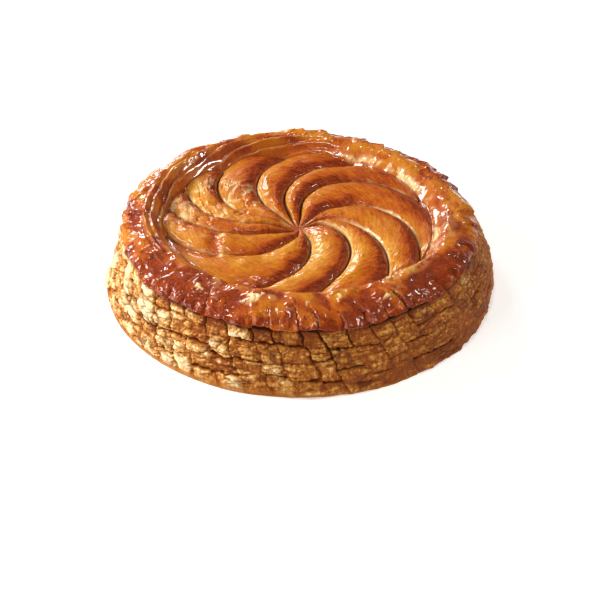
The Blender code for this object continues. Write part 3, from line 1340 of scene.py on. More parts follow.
@dataclass(frozen=True)
class Lip:
    """The rim's outer edge, notched into uneven ragged tabs, with painted shade in the notches."""

    rag_noise: Noise = Noise(LID_RELIEF, 260.0, 4)
    rag_height: float = 0.9 * MM
    rag_out: float = 0.6
    calm: Facing = Facing(40.0, 0.4)
    calmed: float = 0.6
    curl: float = 3.4
    waviness: float = 0.35
    start: float = 0.40
    start_jitter: float = 0.45
    fade: float = 0.2
    depth: float = 1.1 * MM
    drop: float = 0.8 * MM
    width: float = 0.42 * MM
    dark: float = 0.95
    shade_width: float = 0.75
    tab_shift: float = 1.7 * MM
    tab_turn: float = 0.5
    tab_drop: float = 1.6
    tab_tilt: float = 0.7
    tab_round: float = 0.45 * MM
    corner_sharpness: float = 6.0
    out_sharpness: float = 3.0
    rag_sharpness: float = 4.0

    def add(self, skin: Skin) -> None:
        """Notch and fray the lip.

        Args:
            skin: The lid's surface so far.
        """
        form, at_lip, dice = skin.form, skin.at_lip, Dice(LID_RELIEF)
        ragged = self.rag_noise.at(form.place(skin.ring, skin.angle, 0.0))
        ragged = ragged * (1.0 - self.calmed * self.calm.at(skin.angle))
        curled = skin.angle - form.turn(form.lip_radius) + self.curl * (1.0 - at_lip)
        curled = curled + self.waviness * ragged
        number, left, right = notch_lines(curled, form.notch_count)
        nearest = np.minimum(curled - left, right - curled) * np.radians(1.0) * skin.ring
        start = self.start + self.start_jitter * dice.pick(number, Draw.NOTCH_START)
        reach = smooth_step((at_lip - start) / self.fade)
        notch = hump(nearest, self.width) * reach
        along = (curled - left) / (right - left) - 0.5
        corner = self.tab_round * (2.0 * np.abs(along)) ** self.corner_sharpness
        out = self.tab_shift * (dice.pick(number, Draw.TAB_OUT) - 0.5 - self.tab_turn * along)
        drop = self.tab_drop * (dice.pick(number, Draw.TAB_DROP) - 0.5)
        drop = self.tab_shift * (drop + self.tab_tilt * along)
        rags = self.rag_height * ragged
        skin.out = skin.out + at_lip * out - self.depth * notch
        skin.out = skin.out + (self.rag_out * rags - corner) * at_lip ** self.out_sharpness
        skin.height = skin.height - at_lip * drop - self.drop * notch
        skin.height = skin.height + corner * at_lip ** self.corner_sharpness
        skin.height = skin.height + rags * at_lip ** self.rag_sharpness
        # Painted shade in the notches.
        skin.paint_shade(self.dark * hump(nearest, self.shade_width * self.width) * reach)


@dataclass(frozen=True)
class LidBakeAndShade:
    """How brown the lid is, in petals that differ a little and in blotches on the rim. It also carries
    painted light and shade: the petals' shading, the front crest painted lighter, and painted shade on the
    inner slope at the left, which faces away from the key light.
    """

    petals: float = 0.24
    petals_rear: float = 0.20
    petals_edge: float = 0.10
    petals_blister: float = 0.10
    petals_differ: float = 0.16
    petals_middle: float = 0.30
    middle: Rise = Rise(0.0, 13.0 * MM)
    petals_range: tuple[float, float] = (0.0, 0.78)
    rear: Rise = Rise(-60.0 * MM, 130.0 * MM)
    rim: float = 0.34
    blotch_noise: Noise = Noise(LID_TINT, 62.0, 3)
    blotches: float = 0.24
    by_patch: float = 0.408
    by_streak: float = 0.408
    rim_front: float = 0.24
    front: Rise = Rise(60.0 * MM, -120.0 * MM)
    lip: float = 0.16
    lip_right: float = 0.20
    slope: float = 0.16
    slope_right: float = 0.10
    slope_left: float = 0.26
    rim_lit: float = 0.18
    rim_range: tuple[float, float] = (0.24, 0.78)
    right: Facing = Facing(-5.0, 0.3)
    left: Facing = Facing(192.0, 0.1)
    dry_start: Rise = Rise(0.45, 0.5)
    dry_noise: Noise = Noise(LID_TINT, 110.0, 3)
    dry: tuple[float, float, float] = (0.6, 0.8, 0.5)
    rear_right: Facing = Facing(40.0, 0.3)

    def add(self, skin: Skin) -> None:
        """Brown the petals and the rim.

        Args:
            skin: The lid's surface so far.
        """
        flat, columns = skin.flat, skin.columns
        petals = self.petals + self.petals_rear * self.rear.at(flat[..., 1])
        petals = petals + self.petals_edge * (1.0 - crown_share(columns.share))
        differ = self.petals_differ * (Dice(LID_TINT).pick(columns.petal) - 0.5)
        # Taking off the shade paints the petals' light and shade into the bake.
        petals = petals + self.petals_blister * skin.blisters + skin.scored * (differ - skin.shade)
        petals = petals + self.petals_middle * (1.0 - self.middle.at(skin.ring))
        right, inside = self.right.at(skin.angle), 1.0 - skin.crest
        rim = self.rim + self.blotches * self.blotch_noise.at(flat) - self.by_streak * skin.streaks
        rim = rim + self.by_patch * (skin.patch - 0.5) + self.rim_front * self.front.at(flat[..., 1])
        # The lit front crest is painted lighter: painted light.
        rim = rim + (self.lip + self.lip_right * right) * skin.at_lip - self.rim_lit * skin.lit
        # slope_left paints shade on the inner slope at the left, which faces away from the key light.
        rim = rim + (self.slope_right * right + self.slope_left * self.left.at(skin.angle)) * inside
        slope = self.slope * skin.on_rim * inside * (1.0 - right)
        bake = blend(held(petals, *self.petals_range), held(rim, *self.rim_range), skin.on_rim)
        skin.bake = skin.bake + bake + slope

    def dryness(self, skin: Skin) -> np.ndarray:
        """Where the lip has no glaze.

        Args:
            skin: The lid's surface so far.

        Returns:
            One share for each point.
        """
        even, uneven, rear_right = self.dry
        dry = even + uneven * self.dry_noise.at(skin.flat) + rear_right * self.rear_right.at(skin.angle)
        return held(self.dry_start.at(skin.at_lip) * dry)


@dataclass(frozen=True)
class Lid:
    """The glazed lid: petals between curling scores, and the rim that stands round them."""

    form: PieForm
    disc_rings: int = 80
    rim_rings: int = 66
    lip_rings: int = 14
    first_ring: float = 0.7 * MM
    crowding: float = 1.35
    flat_margin: float = 2.2
    flat_inner: float = 0.35
    flat_reach: float = 0.48
    stroke_width: float = 0.105
    stroke_apart: float = 0.042
    lip_bend: float = 0.35 * MM
    lip_bend_share: float = 2.2
    lip_inward: float = 6.5 * MM
    lip_inward_start: float = 0.12
    lip_inward_ease: float = 1.1
    lip_thickness: float = 1.5 * MM
    lip_turn: Rise = Rise(0.0, 0.35)
    lip_return: float = 0.6 * MM
    lip_return_half: Rise = Rise(0.5, 0.5)
    under_lip_shade_reach: Rise = Rise(0.18, 0.3)
    under_lip_shade: float = 0.9
    lip_cut: float = 0.5

    def surface(self, columns: Columns, ring: np.ndarray) -> tuple[np.ndarray, dict[str, np.ndarray]]:
        """Work out the lid's top over rings of given radii.

        Args:
            columns: The lid's columns.
            ring: Radii of the rings, as a column.

        Returns:
            The points and the marks for the finish.
        """
        skin = Skin(self.form, columns, ring)
        bake = LidBakeAndShade()
        for feature in (Petals(), Ribs(), Crackle(), Tear(), Ledges(), InnerEdge(), Crest(), Lip(), bake):
            feature.add(skin)
        # The bake mark also carries painted light and shade, the cut mark pale crumb and painted
        # highlights, and the mark of the creases painted shade.
        marks = {"bake": skin.bake, "cut": skin.cut, "crease_shade": skin.crease_shade, "dry": bake.dryness(skin)}
        return self.form.place(skin.radius + skin.out, skin.angle, skin.height), marks

    def disc(self, columns: Columns) -> bpy.types.Object:
        """Build the scored disc inside the rim.

        Args:
            columns: The lid's columns.

        Returns:
            The new object.
        """
        form = self.form
        ring = np.linspace(self.first_ring, form.disc_radius, self.disc_rings + 1)[:, None]
        points, marks = self.surface(columns, ring)
        points[0] = points[0].mean(axis=0)
        steps = np.linalg.norm(np.diff(points, axis=0, prepend=points[:1]), axis=-1)
        marks["along"] = np.cumsum(steps, axis=0)
        width = np.hypot(points[..., 0], points[..., 1]) * columns.share
        marks["across"] = self.stroke_width * width + self.stroke_apart * columns.petal
        flat = 0.5 + points[..., :2] / (self.flat_margin * form.disc_radius)
        sheet = Sheet("swirl_disc", points, marks, flat)
        return present(sheet.build(), GlazedCrust().material(), "scored petals")

    def rim(self, columns: Columns) -> bpy.types.Object:
        """Build the rim, its lip and the lip's underside.

        Args:
            columns: The lid's columns.

        Returns:
            The new object.
        """
        form = self.form
        out = 1.0 - (1.0 - np.linspace(0.0, 1.0, self.rim_rings + 1)) ** self.crowding
        ring = blend(form.disc_radius, form.lip_radius, out)[:, None]
        points, marks = self.surface(columns, ring)
        edge_marks = {key: value[-1] for key, value in marks.items()}
        under, under_marks = self.underside_of_lip(points[-1], edge_marks)
        points = np.concatenate([points, under])
        marks = {key: np.concatenate([value, under_marks[key]]) for key, value in marks.items()}
        path = self.flat_reach * np.linspace(self.flat_inner, 1.0, len(points))[:, None]
        flat = 0.5 + form.place(path, columns.bearing, 0.0)[..., :2]
        finish = GlazedCrust("glazed_rim", glaze=0.60, bumps=0.16 * MM, brushed=0.0)
        sheet = Sheet("lid_rim", points, marks, flat)
        return present(sheet.build(), finish.material(), "raised rim with its notched lip")

    def underside_of_lip(self, edge: np.ndarray, marks: Mapping[str, np.ndarray]) \
            -> tuple[np.ndarray, dict[str, np.ndarray]]:
        """Turn the lip under and back to the side, with painted shade on the turned-under part.

        Args:
            edge: The points of the lip's outermost ring.
            marks: That ring's marks.

        Returns:
            The points of the turned-under rings and their marks.
        """
        angle = np.degrees(np.arctan2(edge[:, 1], edge[:, 0]))
        share = np.linspace(0.0, 1.0, self.lip_rings + 1)[1:, None]
        bend = self.lip_bend * np.sin(np.pi * held(share * self.lip_bend_share))
        inward = self.lip_inward * held(share - self.lip_inward_start) ** self.lip_inward_ease
        down = self.lip_thickness * self.lip_turn.at(share)
        down = down - self.lip_return * self.lip_return_half.at(share)
        radius = np.hypot(edge[:, 0], edge[:, 1]) + bend - inward
        dark = self.under_lip_shade_reach.at(share)
        kept = {key: value * np.ones_like(share) for key, value in marks.items()}
        # Painted shade under the lip.
        kept["crease_shade"] = np.maximum(kept["crease_shade"], self.under_lip_shade * dark)
        kept["cut"] = self.lip_cut * kept["cut"] * (1.0 - dark)
        return self.form.place(radius, angle, edge[:, 2] - down), kept


def notch_lines(bearing: np.ndarray, count: int, unevenness: float = 0.30,
                seed: int = 5) -> tuple[np.ndarray, np.ndarray, np.ndarray]:
    """Find the uneven notch lines to both sides of a bearing.

    Args:
        bearing: Bearings to place.
        count: Number of notches round the pie.
        unevenness: How far a line may stray, in steps.
        seed: Seed of the straying.

    Returns:
        The number of the block between the lines, and the bearings of its left and right lines.
    """
    step = 360.0 / count

    def line(number: np.ndarray) -> np.ndarray:
        """Bearing of a notch line."""
        return step * (number + unevenness * (Dice(seed).pick(number % count) - 0.5))

    number = np.floor(bearing / step).astype(np.int64)
    number = np.where(bearing < line(number), number - 1, number)
    number = np.where(bearing >= line(number + 1), number + 1, number)
    return number % count, line(number), line(number + 1)


@dataclass
class Wall:
    """The side's surface over some rings: where its blocks and leaves lie, and what is added to them."""

    form: PieForm
    height: np.ndarray
    columns: int = 1200
    dice: Dice = Dice(SIDE_RELIEF)
    warp_noise: Noise = Noise(SIDE_RELIEF, 130.0, 5)
    fray_noise: Noise = Noise(SIDE_TINT, 430.0, 3)
    sway_noise: Noise = Noise(SIDE_TINT, 32.0)
    sway: float = 2.2 * MM
    notch_warp: float = 0.85
    notch_fray: float = 0.34
    notch_lean: float = 2.0
    leaf_warp: float = 0.9 * MM
    leaf_fray: float = 0.55 * MM
    level_ends: tuple[float, float] = (4.0, 6.0)
    top_jitter: float = 0.6 * MM
    gap_jitter: float = 6.0 * MM
    calm_side: Facing = Facing(338.0, 0.1, 0.9)
    right_side: Facing = Facing(-12.0, 0.1)
    foot_band: float = 4.6 * MM
    foot_loss: float = 0.62

    def __post_init__(self) -> None:
        """Lay out the plain surface and find the block and the leaf of every point."""
        form = self.form
        bearing = np.arange(self.columns) * 360.0 / self.columns
        self.up = self.height / form.wall_height
        self.angle = bearing + form.turn(form.lip_radius) + form.notch_slant * (1.0 - self.up)
        self.base = form.place(form.lip_radius, self.angle, self.height)
        self.warp = self.warp_noise.at(self.base)
        frayed = self.fray_noise.at(self.base)
        bent = bearing + self.notch_warp * self.warp + self.notch_fray * frayed
        bent = bent - self.notch_lean * (1.0 - self.up)
        self.block, left, right = notch_lines(bent, form.notch_count)
        ripple = self.leaf_warp * self.warp + self.leaf_fray * frayed
        ripple = ripple + self.sway * self.sway_noise.at(self.base)
        foot, top = self.level_ends
        self.lifted = self.height + ripple * held(foot * self.up) * held(top * (1.0 - self.up))
        self.find_leaves()
        self.after, self.before = bent - left, right - bent
        self.across = self.after / (right - left)
        self.along = held((self.above - self.lifted) / (self.above - self.below))
        self.calm = self.calm_side.at(self.angle)
        self.right = self.right_side.at(self.angle)
        self.foot_reach = self.foot_band * (1.0 - self.foot_loss * self.right)
        self.free = smooth_step(self.lifted / self.foot_reach)
        self.relief = self.gap = self.bake = 0.0 * self.angle
        self.plate = self.chip = self.crumbs = 0.0 * self.angle

    def find_leaves(self) -> None:
        """Find each point's leaf, and the heights of the gaps above and below it."""
        form, block = self.form, self.block
        jitter = [self.top_jitter] + [self.gap_jitter] * (len(form.gaps) - 1)
        lines = [form.gaps[leaf] + jitter[leaf] * (self.dice.pick(block, leaf) - 0.5)
                 for leaf in range(len(form.gaps))]
        lines.append(np.full(block.shape, form.lowest_leaf_bottom))
        lines = np.stack(lines)
        self.leaf = (self.lifted < lines[1:-1]).sum(axis=0)
        self.above = np.take_along_axis(lines, self.leaf[None], axis=0)[0]
        self.below = np.take_along_axis(lines, self.leaf[None] + 1, axis=0)[0]

    def paint_shade(self, share: np.ndarray) -> None:
        """Paint shade into a gap where share is high."""
        self.gap = np.maximum(self.gap, share)


@dataclass(frozen=True)
class Gaps:
    """The notches between the blocks and the gaps between the leaves, cut more or less deep, with painted
    shade in them that is darker where they are deeper.
    """

    notch_depth: float = 2.7 * MM
    notch_range: tuple[float, float] = (0.0, 1.1)
    notch_full: float = 1.10
    notch_full_loss: float = 0.15
    notch_jitter: float = 0.5
    notch_jitter_gain: float = 0.4
    notch_calmed: float = 0.75
    gap_depth: float = 2.7 * MM
    gap_range: tuple[float, float] = (0.06, 1.2)
    gap_jitter: float = 1.35
    gap_loss: float = 0.12
    gap_calmed: float = 0.55
    least: float = 0.05 * MM
    narrowing: float = 0.95
    sharpness: float = 4.0
    edge_width: float = 1.1 * MM
    crack_width: float = 0.42 * MM
    crack_depth: float = 1.2 * MM
    crack_needs: float = 1.6 * MM
    crack_shade: float = 0.95
    rounding_shade: float = 0.7
    dark_sharpness: float = 1.5
    broken_noise: Noise = Noise(SIDE_TINT, 150.0, 3)
    broken: tuple[float, float, float] = (0.80, 1.1, 0.25)

    def add(self, wall: Wall) -> None:
        """Cut the notches and the gaps.

        Args:
            wall: The side's surface so far.
        """
        over, under = wall.above - wall.lifted, wall.lifted - wall.below
        arc = np.radians(1.0) * wall.form.base_radius * self.narrowing
        notch_pull = (np.minimum(wall.after, wall.before) * arc + self.least).clip(self.least)
        gap_pull = (np.minimum(over, under) + self.least).clip(self.least)
        notch_pull, gap_pull = notch_pull ** -self.sharpness, gap_pull ** -self.sharpness
        inside = (notch_pull + gap_pull) ** (-1.0 / self.sharpness)
        leaf, count = wall.leaf, wall.form.notch_count
        line = np.where(wall.after < wall.before, wall.block, wall.block + 1) % count
        jitter = self.notch_jitter + self.notch_jitter_gain * leaf
        jitter = jitter * wall.dice.pick(line, Draw.NOTCH_DEPTH, leaf)
        notch = self.notch_full - self.notch_full_loss * leaf - jitter
        notch = self.notch_depth * held(notch, *self.notch_range) * (1.0 - self.notch_calmed * wall.calm)
        line = np.where(over < under, leaf, leaf + 1)
        gap = self.gap_jitter * wall.dice.pick(wall.block, Draw.GAP_DEPTH, line) - self.gap_loss
        gap = self.gap_depth * held(gap, *self.gap_range) * (1.0 - self.gap_calmed * wall.calm)
        depth = (notch * notch_pull + gap * gap_pull) / (notch_pull + gap_pull)
        rounding = 1.0 - smooth_step(inside / self.edge_width)
        crack = hump(inside, self.crack_width) * smooth_step(depth / self.crack_needs)
        wall.relief = wall.relief - depth * rounding - self.crack_depth * crack
        # Painted shade in the notches and gaps, darker where they are deeper.
        dark = self.rounding_shade * rounding ** 2 * (depth / self.gap_depth) ** self.dark_sharpness
        even, uneven, least = self.broken
        broken = held(even + uneven * self.broken_noise.at(wall.base), least)
        wall.paint_shade(held(self.crack_shade * crack + dark) * wall.free * broken)


@dataclass(frozen=True)
class Blocks:
    """Blocks of pastry that lie in or out, tilt a little and swell at their middles."""

    seed: float = 17.3
    jitter: float = 1.5 * MM
    swell: float = 1.0 * MM
    tilt_across: float = 1.8 * MM
    tilt_along: float = 1.6 * MM
    calmed: float = 0.6

    def offsets(self, blocks: int, leaves: int) -> np.ndarray:
        """How far each block of each leaf lies in or out, from 0 to 1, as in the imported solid.

        Args:
            blocks: Number of blocks round the pie.
            leaves: Number of leaves in a block.

        Returns:
            One value for each block and leaf.
        """
        cells = [[noise.cell(Vector((self.seed * block, self.seed * leaf, self.seed)))
                  for leaf in range(leaves)] for block in range(blocks)]
        return np.array(cells)

    def add(self, wall: Wall) -> None:
        """Move the blocks.

        Args:
            wall: The side's surface so far.
        """
        form, block, leaf = wall.form, wall.block, wall.leaf
        fullness = np.sqrt(crown_share(wall.across) * crown_share(wall.along))
        offset = self.jitter * self.offsets(form.notch_count, len(form.gaps))[block, leaf]
        across = wall.dice.pick(block, Draw.TILT_ACROSS, leaf) - 0.5
        along = wall.dice.pick(block, Draw.TILT_ALONG, leaf) - 0.5
        tilt = self.tilt_across * across * (wall.across - 0.5)
        tilt = tilt + self.tilt_along * along * (wall.along - 0.5)
        moved = (self.swell + offset) * fullness + tilt
        wall.relief = wall.relief + (1.0 - self.calmed * wall.calm) * moved


@dataclass(frozen=True)
class Flakes:
    """Broken plates and chips of pastry, each a little in or out, with painted shade along their torn
    edges.
    """

    plates: Cells = Cells(SIDE_RELIEF, 98.0)
    chips: Cells = Cells(SIDE_CHIPS, 300.0)
    plate_squeeze: tuple[float, float, float] = (1.0, 1.0, 2.9)
    chip_squeeze: tuple[float, float, float] = (1.0, 1.0, 2.4)
    raggedness: tuple[float, float, float] = (2.4 * MM, 2.4 * MM, 2.0 * MM)
    plate_shift: float = 2.0 * MM
    chip_shift: float = 0.8 * MM
    edge: float = 0.2
    dome: float = 0.7
    dome_height: float = 0.5
    sunk: float = 0.4
    calmed: float = 0.5
    torn_noise: Noise = Noise(SIDE_TINT, 90.0, 3)
    torn: tuple[float, float] = (0.5, 1.5)
    dark: float = 0.8
    shade_width: float = 0.10

    def add(self, wall: Wall) -> None:
        """Break the side up.

        Args:
            wall: The side's surface so far.
        """
        ragged = wall.warp[..., None] * np.array(self.raggedness)
        plate_edge, wall.plate = self.plates.at(wall.base * np.array(self.plate_squeeze) + ragged)
        chip_edge, wall.chip = self.chips.at(wall.base * np.array(self.chip_squeeze) + ragged)
        plate = (wall.plate - 0.5) * smooth_step(plate_edge / self.edge)
        plate = plate + self.dome_height * smooth_step(plate_edge / self.dome) - self.sunk
        chip = (wall.chip - 0.5) * smooth_step(chip_edge / self.edge)
        moved = self.plate_shift * plate + self.chip_shift * chip
        wall.relief = wall.relief + (1.0 - self.calmed * wall.calm) * moved
        torn = held(self.torn[0] + self.torn[1] * self.torn_noise.at(wall.base))
        # Painted shade along the plates' torn edges.
        wall.paint_shade(self.dark * torn * hump(plate_edge, self.shade_width) * wall.free)


@dataclass(frozen=True)
class Layers:
    """Thin layers that show in the leaves, and fine crumbs. The protruding top of each layer is painted
    paler, as painted light, and the hollow at its foot gets painted shade.
    """

    pitch: float = 2.3 * MM
    pitch_range: tuple[float, float] = (0.75, 1.25)
    sway_noise: Noise = Noise(SIDE_RELIEF, 210.0)
    sway: float = 0.5 * MM
    depth: float = 0.50 * MM
    shown_noise: Noise = Noise(SIDE_TINT, 70.0)
    shown: tuple[float, float, float] = (0.2, 1.6, 0.5)
    line_place: float = 0.04
    line_width: float = 0.06
    dark: float = 0.6
    bake: float = 0.14
    crumb_noise: Noise = Noise(SIDE_RELIEF, 380.0, 4)
    crumb: float = 0.35 * MM

    def add(self, wall: Wall) -> None:
        """Layer the leaves.

        Args:
            wall: The side's surface so far.
        """
        pitch = wall.dice.pick(wall.block, Draw.LAYER_PITCH, wall.leaf)
        pitch = self.pitch * blend(*self.pitch_range, pitch)
        layer = (wall.lifted + self.sway * self.sway_noise.at(wall.base)) / pitch + wall.plate
        step = layer - np.floor(layer)
        even, uneven, calm = self.shown
        shown = held(even + uneven * self.shown_noise.at(wall.base) + calm * wall.calm)
        wall.crumbs = self.crumb_noise.at(wall.base)
        wall.relief = wall.relief + self.depth * (step - 0.5) * shown + self.crumb * wall.crumbs
        # Painted shade in the hollow at each layer's foot; the next line paints each layer lighter towards
        # its protruding top, as painted light.
        wall.paint_shade(self.dark * hump(step - self.line_place, self.line_width) * wall.free * shown)
        wall.bake = wall.bake + self.bake * (0.5 - step) * shown


@dataclass(frozen=True)
class Foot:
    """The amber foot, set in a little and ragged at the right."""

    fringe_noise: Noise = Noise(SIDE_TINT, 190.0, 4)
    fringe_length: float = 0.25
    fringe: float = 0.9 * MM
    crumb: float = 0.1 * MM
    set_in: float = 0.2 * MM
    band: float = 0.85
    fade: float = 1.3 * MM
    amber: float = 0.82
    amber_loss: float = 0.40

    def shift(self, wall: Wall) -> np.ndarray:
        """How far the foot's surface lies out.

        Args:
            wall: The side's surface so far.

        Returns:
            The outward shift of each point.
        """
        spots = wall.form.place(wall.form.lip_radius, wall.angle, self.fringe_length * wall.height)
        fringe = self.fringe * self.fringe_noise.at(spots)
        return self.crumb * wall.crumbs - self.set_in + wall.right * fringe

    def mark(self, wall: Wall) -> np.ndarray:
        """Where the foot shows."""
        band = smooth_step((self.band * wall.foot_reach - wall.lifted) / self.fade)
        return band * (self.amber - self.amber_loss * wall.right)


@dataclass(frozen=True)
class SideBakeAndShade:
    """How brown the side is, with painted light and shade: raised parts, faces that look up and faces
    toward the key light at the left painted paler, hollows and faces that look down painted darker, and a
    painted shadow under the lip.
    """

    even: float = 0.32
    browner_bearing: float = 325.0
    browner: float = 0.52
    browner_sharpness: float = 1.35
    by_leaf: float = 0.26
    by_plate: float = 0.30
    by_chip: float = 0.24
    by_row: float = 0.05
    by_warp: float = 0.16
    relief_shading: float = 0.50
    hollow_depth: float = 1.5 * MM
    hollow_range: tuple[float, float] = (-1.4, 1.2)
    hollows_calmed: float = 0.5
    ring_step: float = 0.16 * MM
    column_step: float = 0.9 * MM
    lit_from_above: float = 0.26
    top_gain: float = 0.8
    lit_from_left: float = 0.20
    left_calmed: float = 0.6
    under: Rise = Rise(-3.0 / 7.0, -10.0 / 7.0)
    under_shade: float = 0.5
    top: Rise = Rise(0.86, 0.14)
    top_brown: float = 0.25
    back: Facing = Facing(84.0, 0.0, 1.3)
    back_brown: float = 0.36
    shadow_start: float = 0.955
    shadow_span: float = 0.03
    shadow_side: Facing = Facing(335.0)
    shadow_lower: float = 0.02
    shadow_waviness: float = 0.03
    shadow_dark: float = 0.85

    def add(self, wall: Wall) -> None:
        """Brown the side.

        Args:
            wall: The side's surface so far.
        """
        relief, angle, calm = wall.relief, wall.angle, wall.calm
        upward = np.gradient(relief, axis=0) / self.ring_step
        leftward = (np.roll(relief, -1, axis=1) - np.roll(relief, 1, axis=1)) / self.column_step
        facing = 0.5 + 0.5 * cosine(angle, self.browner_bearing)
        bake = self.even + self.browner * facing ** self.browner_sharpness
        leaf_bake = Dice(SIDE_TINT).pick(wall.block, Draw.LEAF_BAKE, wall.leaf)
        bake = bake + self.by_leaf * (leaf_bake - 0.5)
        bake = bake + self.by_plate * (wall.plate - 0.5) + self.by_chip * (wall.chip - 0.5)
        bake = bake + self.by_row * wall.leaf * (wall.up > 0.0) + self.by_warp * wall.warp
        # Painted light and shade: raised parts paler, hollows darker.
        hollow = held(relief / self.hollow_depth, *self.hollow_range)
        bake = bake - self.relief_shading * hollow * (1.0 - self.hollows_calmed * calm)
        # Painted light on faces that look up and faces toward the key light at the left.
        bake = bake - self.lit_from_above * smooth_step(self.top_gain * upward)
        bake = bake - self.lit_from_left * smooth_step(leftward) * (1.0 - self.left_calmed * calm)
        bake = bake + self.top_brown * self.top.at(wall.up) + self.back_brown * self.back.at(angle)
        wall.bake = wall.bake + bake
        # Painted shade on faces that look down, and a painted shadow under the lip.
        wall.paint_shade(self.under_shade * self.under.at(upward) * wall.free)
        lower = self.shadow_lower * self.shadow_side.at(angle) + self.shadow_waviness * wall.warp
        shadow = smooth_step((wall.up - self.shadow_start + lower) / self.shadow_span)
        wall.paint_shade(self.shadow_dark * shadow)


@dataclass(frozen=True)
class Side:
    """The tall side: leaves of pastry stacked in four rows and cut into blocks by slanting notches."""

    form: PieForm
    rings_per_piece: int = 78
    above_wall: float = 0.4 * MM
    tuck_start: float = 1.0 * MM
    tuck_span: float = 1.4 * MM
    tuck: float = 0.03

    def surface(self, height: np.ndarray) -> tuple[np.ndarray, dict[str, np.ndarray]]:
        """Work out the side over rings of given heights.

        Args:
            height: Heights as a column, one for each ring, from the top down.

        Returns:
            The points and the marks for the finish.
        """
        form, foot = self.form, Foot()
        wall = Wall(form, height)
        for feature in (Gaps(), Blocks(), Flakes(), Layers(), SideBakeAndShade()):
            feature.add(wall)
        rise, shift = form.wobbles(wall.angle)
        radius = form.wall_radius(wall.angle, height) + shift
        radius = radius + blend(foot.shift(wall), wall.relief, wall.free)
        raised = height + wall.up * (rise - form.sag(wall.angle))
        marks = {"bake": wall.bake, "gap": wall.gap, "foot": foot.mark(wall)}
        return form.place(radius, wall.angle, raised), marks

    def build(self) -> np.ndarray:
        """Build the side as an upper and a lower piece that share a ring.

        Returns:
            The points of the lowest ring.
        """
        form, names = self.form, ("side_upper", "side_lower")
        rings = len(names) * self.rings_per_piece
        height = np.linspace(form.wall_height + self.above_wall, 0.0, rings + 1)[:, None]
        points, marks = self.surface(height)
        tuck = Rise(form.wall_height - self.tuck_start, self.tuck_span).at(height)
        points[..., :2] *= 1.0 - self.tuck * tuck[..., None]
        columns = points.shape[1]
        down = np.linspace(0.0, 1.0, self.rings_per_piece + 1)[:, None]
        flat = np.stack(np.broadcast_arrays(np.arange(columns) / columns, down), axis=-1)
        finish = LayeredSide().material()
        for place, name in enumerate(names):
            first = place * self.rings_per_piece
            rows = slice(first, first + self.rings_per_piece + 1)
            sheet = Sheet(name, points[rows], {key: value[rows] for key, value in marks.items()}, flat)
            present(sheet.build(), finish, "stacked leaves of pastry")
        return points[-1]


@dataclass(frozen=True)
class Underside:
    """The flat underside, inside the foot of the side."""

    form: PieForm
    foot: np.ndarray
    rings: int = 40
    innermost: float = 0.004
    hollow: float = 0.35 * MM
    edge: Rise = Rise(1.0, -1.0 / 30.0)
    bump_noise: Noise = Noise(UNDERSIDE_RELIEF, 160.0, 3)
    flat_margin: float = 2.2

    def build(self) -> bpy.types.Object:
        """Build the underside from the foot inwards.

        Returns:
            The new object.
        """
        share = np.linspace(1.0, self.innermost, self.rings + 1)[:, None]
        points = self.foot * share[..., None]
        bumps = held(0.5 + 0.5 * self.bump_noise.at(points))
        points[..., 2] = self.hollow * self.edge.at(share) * bumps
        points[-1] = points[-1].mean(axis=0)
        flat = 0.5 + points[..., :2] / (self.flat_margin * self.form.base_radius)
        sheet = Sheet("underside", points, {}, flat)
        return present(sheet.build(), BakedUnderside().material(), "flat baked base")


@dataclass(frozen=True)
class Floor:
    """The pale floor that the pie stands on."""

    reach: float = 6.0
    drop: float = 0.2 * MM
    squares: int = 4

    def build(self) -> bpy.types.Object:
        """Build the floor.

        Returns:
            The new object.
        """
        bpy.ops.mesh.primitive_grid_add(x_subdivisions=self.squares, y_subdivisions=self.squares,
                                        size=self.reach, location=(0.0, 0.0, -self.drop))
        floor = bpy.context.object
        floor.name = "floor"
        floor.data.materials.append(PaleFloor().material())
        return floor


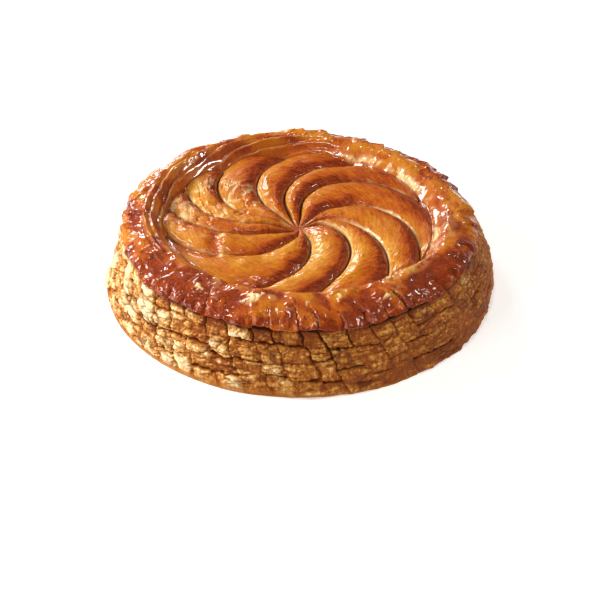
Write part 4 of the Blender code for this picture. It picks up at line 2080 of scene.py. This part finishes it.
class Lamp(Enum):
    """The soft lights: place, size, power in watts and colour."""

    KEY = ((-1.12, 0.20, 0.68), 0.52, 18.0, (1.0, 0.975, 0.94))
    BACK = ((-0.47, 1.25, 0.62), 0.40, 6.2, (1.0, 0.985, 0.97))
    FRONT = ((-1.00, -0.95, 0.60), 0.90, 8.5, (1.0, 0.98, 0.96))
    RIGHT = ((1.20, 0.15, 0.95), 0.24, 9.0, (1.0, 0.95, 0.86))
    TOP = ((-0.10, -0.12, 1.40), 0.22, 4.0, (1.0, 0.99, 0.98))


@dataclass(frozen=True)
class Studio:
    """Camera, lights and surroundings."""

    elevation: float = 35.0
    distance: float = 1.25
    lens: float = 125.5
    shift_x: float = 0.0007
    shift_y: float = -0.035
    sky: Colour = (1.0, 1.0, 1.0)
    sky_strength: float = 0.11

    def camera(self) -> bpy.types.Object:
        """Add the camera in front of the pie, looking down at the middle of its base.

        Returns:
            The new object.
        """
        lens = bpy.data.cameras.new("camera")
        lens.lens = self.lens
        lens.shift_x = self.shift_x
        lens.shift_y = self.shift_y
        camera = bpy.data.objects.new("camera", lens)
        tip = math.radians(self.elevation)
        camera.location = (0.0, -self.distance * math.cos(tip), self.distance * math.sin(tip))
        camera.rotation_euler = (math.radians(90.0) - tip, 0.0, 0.0)
        bpy.context.scene.collection.objects.link(camera)
        bpy.context.scene.camera = camera
        return camera

    def light(self) -> None:
        """Add the lights and the sky, and keep the colours plain."""
        for lamp in Lamp:
            place, size, power, colour = lamp.value
            data = bpy.data.lights.new(lamp.name.lower(), "AREA")
            data.shape = "DISK"
            data.size = size
            data.energy = power
            data.color = colour
            item = bpy.data.objects.new(lamp.name.lower(), data)
            item.location = place
            item.rotation_euler = (-Vector(place)).to_track_quat("-Z", "Y").to_euler()
            bpy.context.scene.collection.objects.link(item)
        world = bpy.data.worlds.new("sky")
        world.use_nodes = True
        sky = world.node_tree.nodes["Background"]
        sky.inputs["Color"].default_value = (*self.sky, 1.0)
        sky.inputs["Strength"].default_value = self.sky_strength
        bpy.context.scene.world = world
        bpy.context.scene.view_settings.view_transform = "Standard"


def main() -> None:
    """Load the frame and build the pie's pieces in order, with the floor, the camera and the lights."""
    logging.basicConfig(level=logging.INFO, format="%(name)s: %(message)s")
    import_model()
    form = PieForm()
    columns = Columns(form)
    lid = Lid(form)
    lid.disc(columns)
    lid.rim(columns)
    foot = Side(form).build()
    Underside(form, foot).build()
    Floor().build()
    studio = Studio()
    studio.camera()
    studio.light()


if __name__ == "__main__":
    main()
